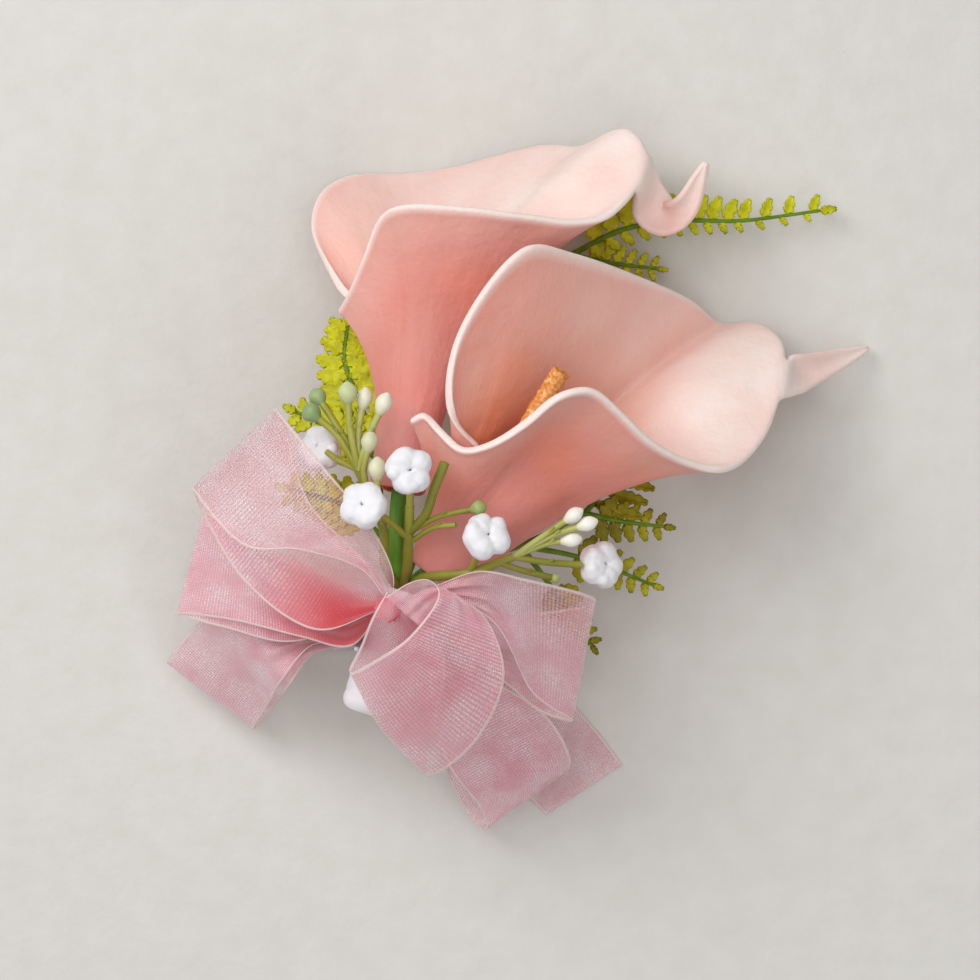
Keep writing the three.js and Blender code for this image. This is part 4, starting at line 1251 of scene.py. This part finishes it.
warp, weft = threads("X"), threads("Y")
# the tone on the ribbons is the painted shade round the tie; there the threads also blur
layer_shade = organza.attribute("tone")
weave = organza.mix(layer_shade, organza.maths("MAXIMUM", warp, weft), grey(0.68))
from_middle = organza.maths("ABSOLUTE", organza.maths("SUBTRACT", cloth_axes["Y"], 0.5), 0)
selvage = organza.ramp(from_middle, [(0.474, grey(0)), (0.48, grey(1))])
# painted highlight: broad patches where the cloth is painted lighter, as if the lamps caught it
shine = organza.ramp(organza.noise(2.2, 3, "UV"), [(0.38, grey(0.1)), (0.62, grey(1))])
specks = organza.ramp(organza.noise(64, 2, "UV"), [(0.4, grey(0)), (0.68, grey(1))])
# painted glints: white specks on the threads in the lighter patches
glint = organza.maths("MULTIPLY", organza.maths("MULTIPLY", shine, specks), warp)
# the gaps are a deeper pink: partly the cloth's colour, partly painted light bounced between the layers
gaps = organza.mix(shine, colour(246, 124, 152), colour(254, 156, 178))
yarn = organza.mix(shine, colour(255, 192, 206), colour(255, 220, 226))
cloth = organza.mix(weave, gaps, yarn)
cloth = organza.mix(glint, cloth, colour(255, 250, 248))
# painted shade: the cloth turns deep pink round the tie
cloth = organza.mix(layer_shade, cloth, colour(228, 80, 92))
organza.paint(organza.mix(selvage, cloth, colour(254, 226, 222)))
print("threads across the ribbon:", THREADS)

# %% [markdown]
# How much the cloth covers is added up in steps: the threads, then their crowding at a slant, the closeness
# of each ribbon's threads, the painted glints, the painted shade round the tie, and the selvage, which is the
# closest weave of all.

# %% Organza cover
edge_on = organza.add("ShaderNodeLayerWeight")
edge_on.inputs["Blend"].default_value = 0.3
cover = organza.maths("ADD", organza.maths("MULTIPLY", weave, 0.16), 0.15)
cover = organza.maths("ADD", cover, organza.maths("MULTIPLY", edge_on.outputs["Facing"], 0.2))
cover = organza.maths("MULTIPLY", cover, organza.attribute("closeness"))
# the painted glints also cover more
cover = organza.maths("ADD", cover, organza.maths("MULTIPLY", glint, 0.45))
# the painted shade round the tie also makes the cloth more opaque
cover = organza.maths("ADD", cover, organza.maths("MULTIPLY", layer_shade, 0.35))
cover = organza.maths("MAXIMUM", cover, organza.maths("MULTIPLY", selvage, 0.7))
organza.link(cover, organza.shader.inputs["Alpha"])
organza.bump(weave, 0.00008, 0.4)
organza.set("Sheen Weight", 0.8)
organza.set("Sheen Roughness", 0.5)
organza.set("Specular IOR Level", 0.4)
organza.set("Subsurface Weight", 0.6)
organza.set("Subsurface Radius", (0.004, 0.003, 0.003))
print("organza ready")

# %% [markdown]
# Every loop is then made and finished in turn, and its length and cloth share are printed. The tail rides on
# its own body, because it swings at the tie.

# %% Bow pieces
for name, (near_points, far_points) in RIBBONS.items():
    piece, length = make_ribbon(name, near_points, far_points)
    wear(piece, organza)
    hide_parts(name)
    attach(piece, "tail" if name == "bow_tail" else "bound_bunch")

# %% [markdown]
# The tie is a turn of the same ribbon wound tightly into a short stack. It hardly shows, so a pleated column
# is enough: a cylinder whose sides are pushed in along upright pleats.

# %% Tie
TIE_PLEATS = 14
TIE_WAIST = 0.12
PLEAT_DEPTH = 0.05
PLEAT_TWIST = 6
CROWN_DROP = 0.7 * MM


def make_tie():
    """The gathered middle of the bow."""
    low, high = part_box("bow_tie")
    bpy.ops.object.select_all(action="DESELECT")
    bpy.ops.mesh.primitive_cylinder_add(vertices=96, radius=1, depth=1, location=(0, 0, 0))
    knot = bpy.context.object
    knot.name = "bow_tie_piece"
    bpy.ops.object.mode_set(mode="EDIT")
    bpy.ops.mesh.select_all(action="SELECT")
    bpy.ops.mesh.subdivide(number_cuts=6)
    bpy.ops.object.mode_set(mode="OBJECT")
    middle = (Vector(low) + Vector(high)) / 2
    for vertex in knot.data.vertices:
        spot = vertex.co.copy()
        angle = math.atan2(spot.y, spot.x)
        radius = math.hypot(spot.x, spot.y)
        pleat = PLEAT_DEPTH * math.sin(TIE_PLEATS * angle + PLEAT_TWIST * spot.z)
        waist = 1 - TIE_WAIST * math.cos(spot.z * math.pi) + pleat
        crown = CROWN_DROP * radius * radius if spot.z > 0.49 else 0
        vertex.co = middle + Vector((
            spot.x * TIE_RADIUS * waist, spot.y * TIE_RADIUS * waist,
            spot.z * (high[2] - low[2]) - crown,
        ))
    only(knot)
    bpy.ops.object.shade_smooth()
    return knot


tie_cloth = Finish("tie_cloth", colour(224, 96, 108), 0.5)
tie_cloth.paint(tie_cloth.ramp(tie_cloth.noise(500, 3), [
    (0.3, colour(214, 78, 90)), (0.7, colour(234, 122, 132)),
]))
tie_cloth.set("Sheen Weight", 0.3)
tie = make_tie()
wear(tie, tie_cloth)
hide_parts("bow_tie")
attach(tie, "bound_bunch")
print("tie made")

# %% [markdown]
# ## Handle, clamp and wristband
# Handle and wristband are both white satin. Its threads run one way, so the shine is drawn out across them
# and a fine bump is stretched along them.

# %% Satin
satin = Finish("satin", colour(240, 236, 242), 0.34)
satin.paint(satin.ramp(satin.noise(60, 3), [(0.3, colour(236, 230, 240)), (0.7, colour(253, 250, 252))]))
satin.bump(satin.noise(1500, 2, stretch=(1, 0.1, 1)), 0.0001, 0.3)
satin.set("Sheen Weight", 0.3)
satin.set("Anisotropic", 0.5)
print("satin ready")

# %% [markdown]
# White satin is wound round the stems from end to end. The handle is a cylinder with a rounded end and soft
# slanting steps where one turn of the ribbon laps the next. A cylinder with a bevel would give the same form
# without the laps, so a grid is rolled up instead.

# %% Handle
HANDLE_RADIUS = 4.8
HANDLE_CORNER = 2.2
END_ROWS, CORNER_ROWS = 0.12, 0.3
LAP_PITCH = 5.5
LAP_DEPTH = 0.22
SATIN_WALL = 0.5 * MM


def make_handle():
    """The satin-wound handle, as a cup with soft turns of ribbon."""
    piece = new_grid("satin_wrap_piece", 96, 80)
    outer = HANDLE_RADIUS - HANDLE_CORNER

    def place(u, v):
        angle = 2 * math.pi * u
        if v < END_ROWS:
            radius, along = outer * v / END_ROWS, -MOUTH
        elif v < CORNER_ROWS:
            turn = (v - END_ROWS) / (CORNER_ROWS - END_ROWS) * math.pi / 2
            radius = outer + HANDLE_CORNER * math.sin(turn)
            along = -MOUTH + HANDLE_CORNER * (1 - math.cos(turn))
        else:
            radius = HANDLE_RADIUS
            up_the_side = (v - CORNER_ROWS) / (1 - CORNER_ROWS)
            along = -MOUTH + HANDLE_CORNER + up_the_side * (2 * MOUTH - HANDLE_CORNER)
        lap = (along / LAP_PITCH + u) % 1
        radius -= LAP_DEPTH * smooth_step(0.8, 1, lap) * min(radius / outer, 1)
        return Vector(in_handle(radius * math.cos(angle), along, radius * math.sin(angle))) * MM

    shape_grid(piece, place)
    close_seams(piece)
    apply_modifier(piece, "SOLIDIFY", thickness=SATIN_WALL, offset=-1)
    return piece


handle = make_handle()
wear(handle, satin)
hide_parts("satin_wrap")
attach(handle, "bound_bunch")
print("handle wound")

# %% [markdown]
# The wristband is a loop of shirred satin elastic: a flat oval with fine upright ripples. Its lower side
# moves away when it stretches; here the loop is one piece, made in place and attached to no body.

# %% Wristband
BAND_SPAN, BAND_HEIGHT, BAND_WIDTH = 54, 27.4, 12
SHIRRED_WALL = 1.2
SHIRR_COUNT = 130
SHIRR_DEPTH = 0.16
BAND_WALL = 0.8 * MM


def make_band():
    """The shirred elastic loop round the wrist."""
    arc = (BAND_HEIGHT - SHIRRED_WALL) / 2
    flat = BAND_SPAN - BAND_HEIGHT
    level = BAND_HEIGHT / 2
    turn = math.pi * arc
    whole = 2 * (flat + turn)
    piece = new_grid("band_piece", 360, 12)

    def place(u, v):
        run = u * whole
        across = (v - 0.5) * BAND_WIDTH
        uneven = 1.2 * noise.noise(Vector((u * 60, v * 2, 0)))
        radius = arc + SHIRR_DEPTH * math.sin(2 * math.pi * u * SHIRR_COUNT + uneven)
        if run < flat:
            spot = (-flat / 2 + run, across, level - radius)
        elif run < flat + turn:
            angle = -math.pi / 2 + (run - flat) / arc
            spot = (flat / 2 + radius * math.cos(angle), across, level + radius * math.sin(angle))
        elif run < 2 * flat + turn:
            spot = (flat / 2 - (run - flat - turn), across, level + radius)
        else:
            angle = math.pi / 2 + (run - 2 * flat - turn) / arc
            spot = (-flat / 2 + radius * math.cos(angle), across, level + radius * math.sin(angle))
        return Vector(spot) * MM

    shape_grid(piece, place)
    close_seams(piece)
    apply_modifier(piece, "SOLIDIFY", thickness=BAND_WALL, offset=0)
    return piece


band = make_band()
wear(band, satin)
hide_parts("band_top", "band_bottom", "band_end_left", "band_end_right")
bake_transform(band)
print("wristband made")

# %% [markdown]
# The clamp and the stem tape keep their solids, which have their true forms. The clamp is brushed tin plate
# and the tape is green waxed paper.

# %% Clamp and tape
clamp_metal = Finish("clamp_metal", colour(200, 200, 204), 0.3)
clamp_metal.set("Metallic", 1)
clamp_metal.bump(clamp_metal.noise(900, 2, stretch=(1, 12, 1)), 0.00005, 0.3)
wear(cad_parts["wristlet_clamp"], clamp_metal)
tape = Finish("stem_tape_finish", colour(84, 122, 62), 0.75)
tape.paint(tape.ramp(tape.noise(300, 4), [(0.3, colour(70, 104, 50)), (0.7, colour(100, 140, 76))]))
wear(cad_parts["stem_tape"], tape)
print("clamp and tape finished")
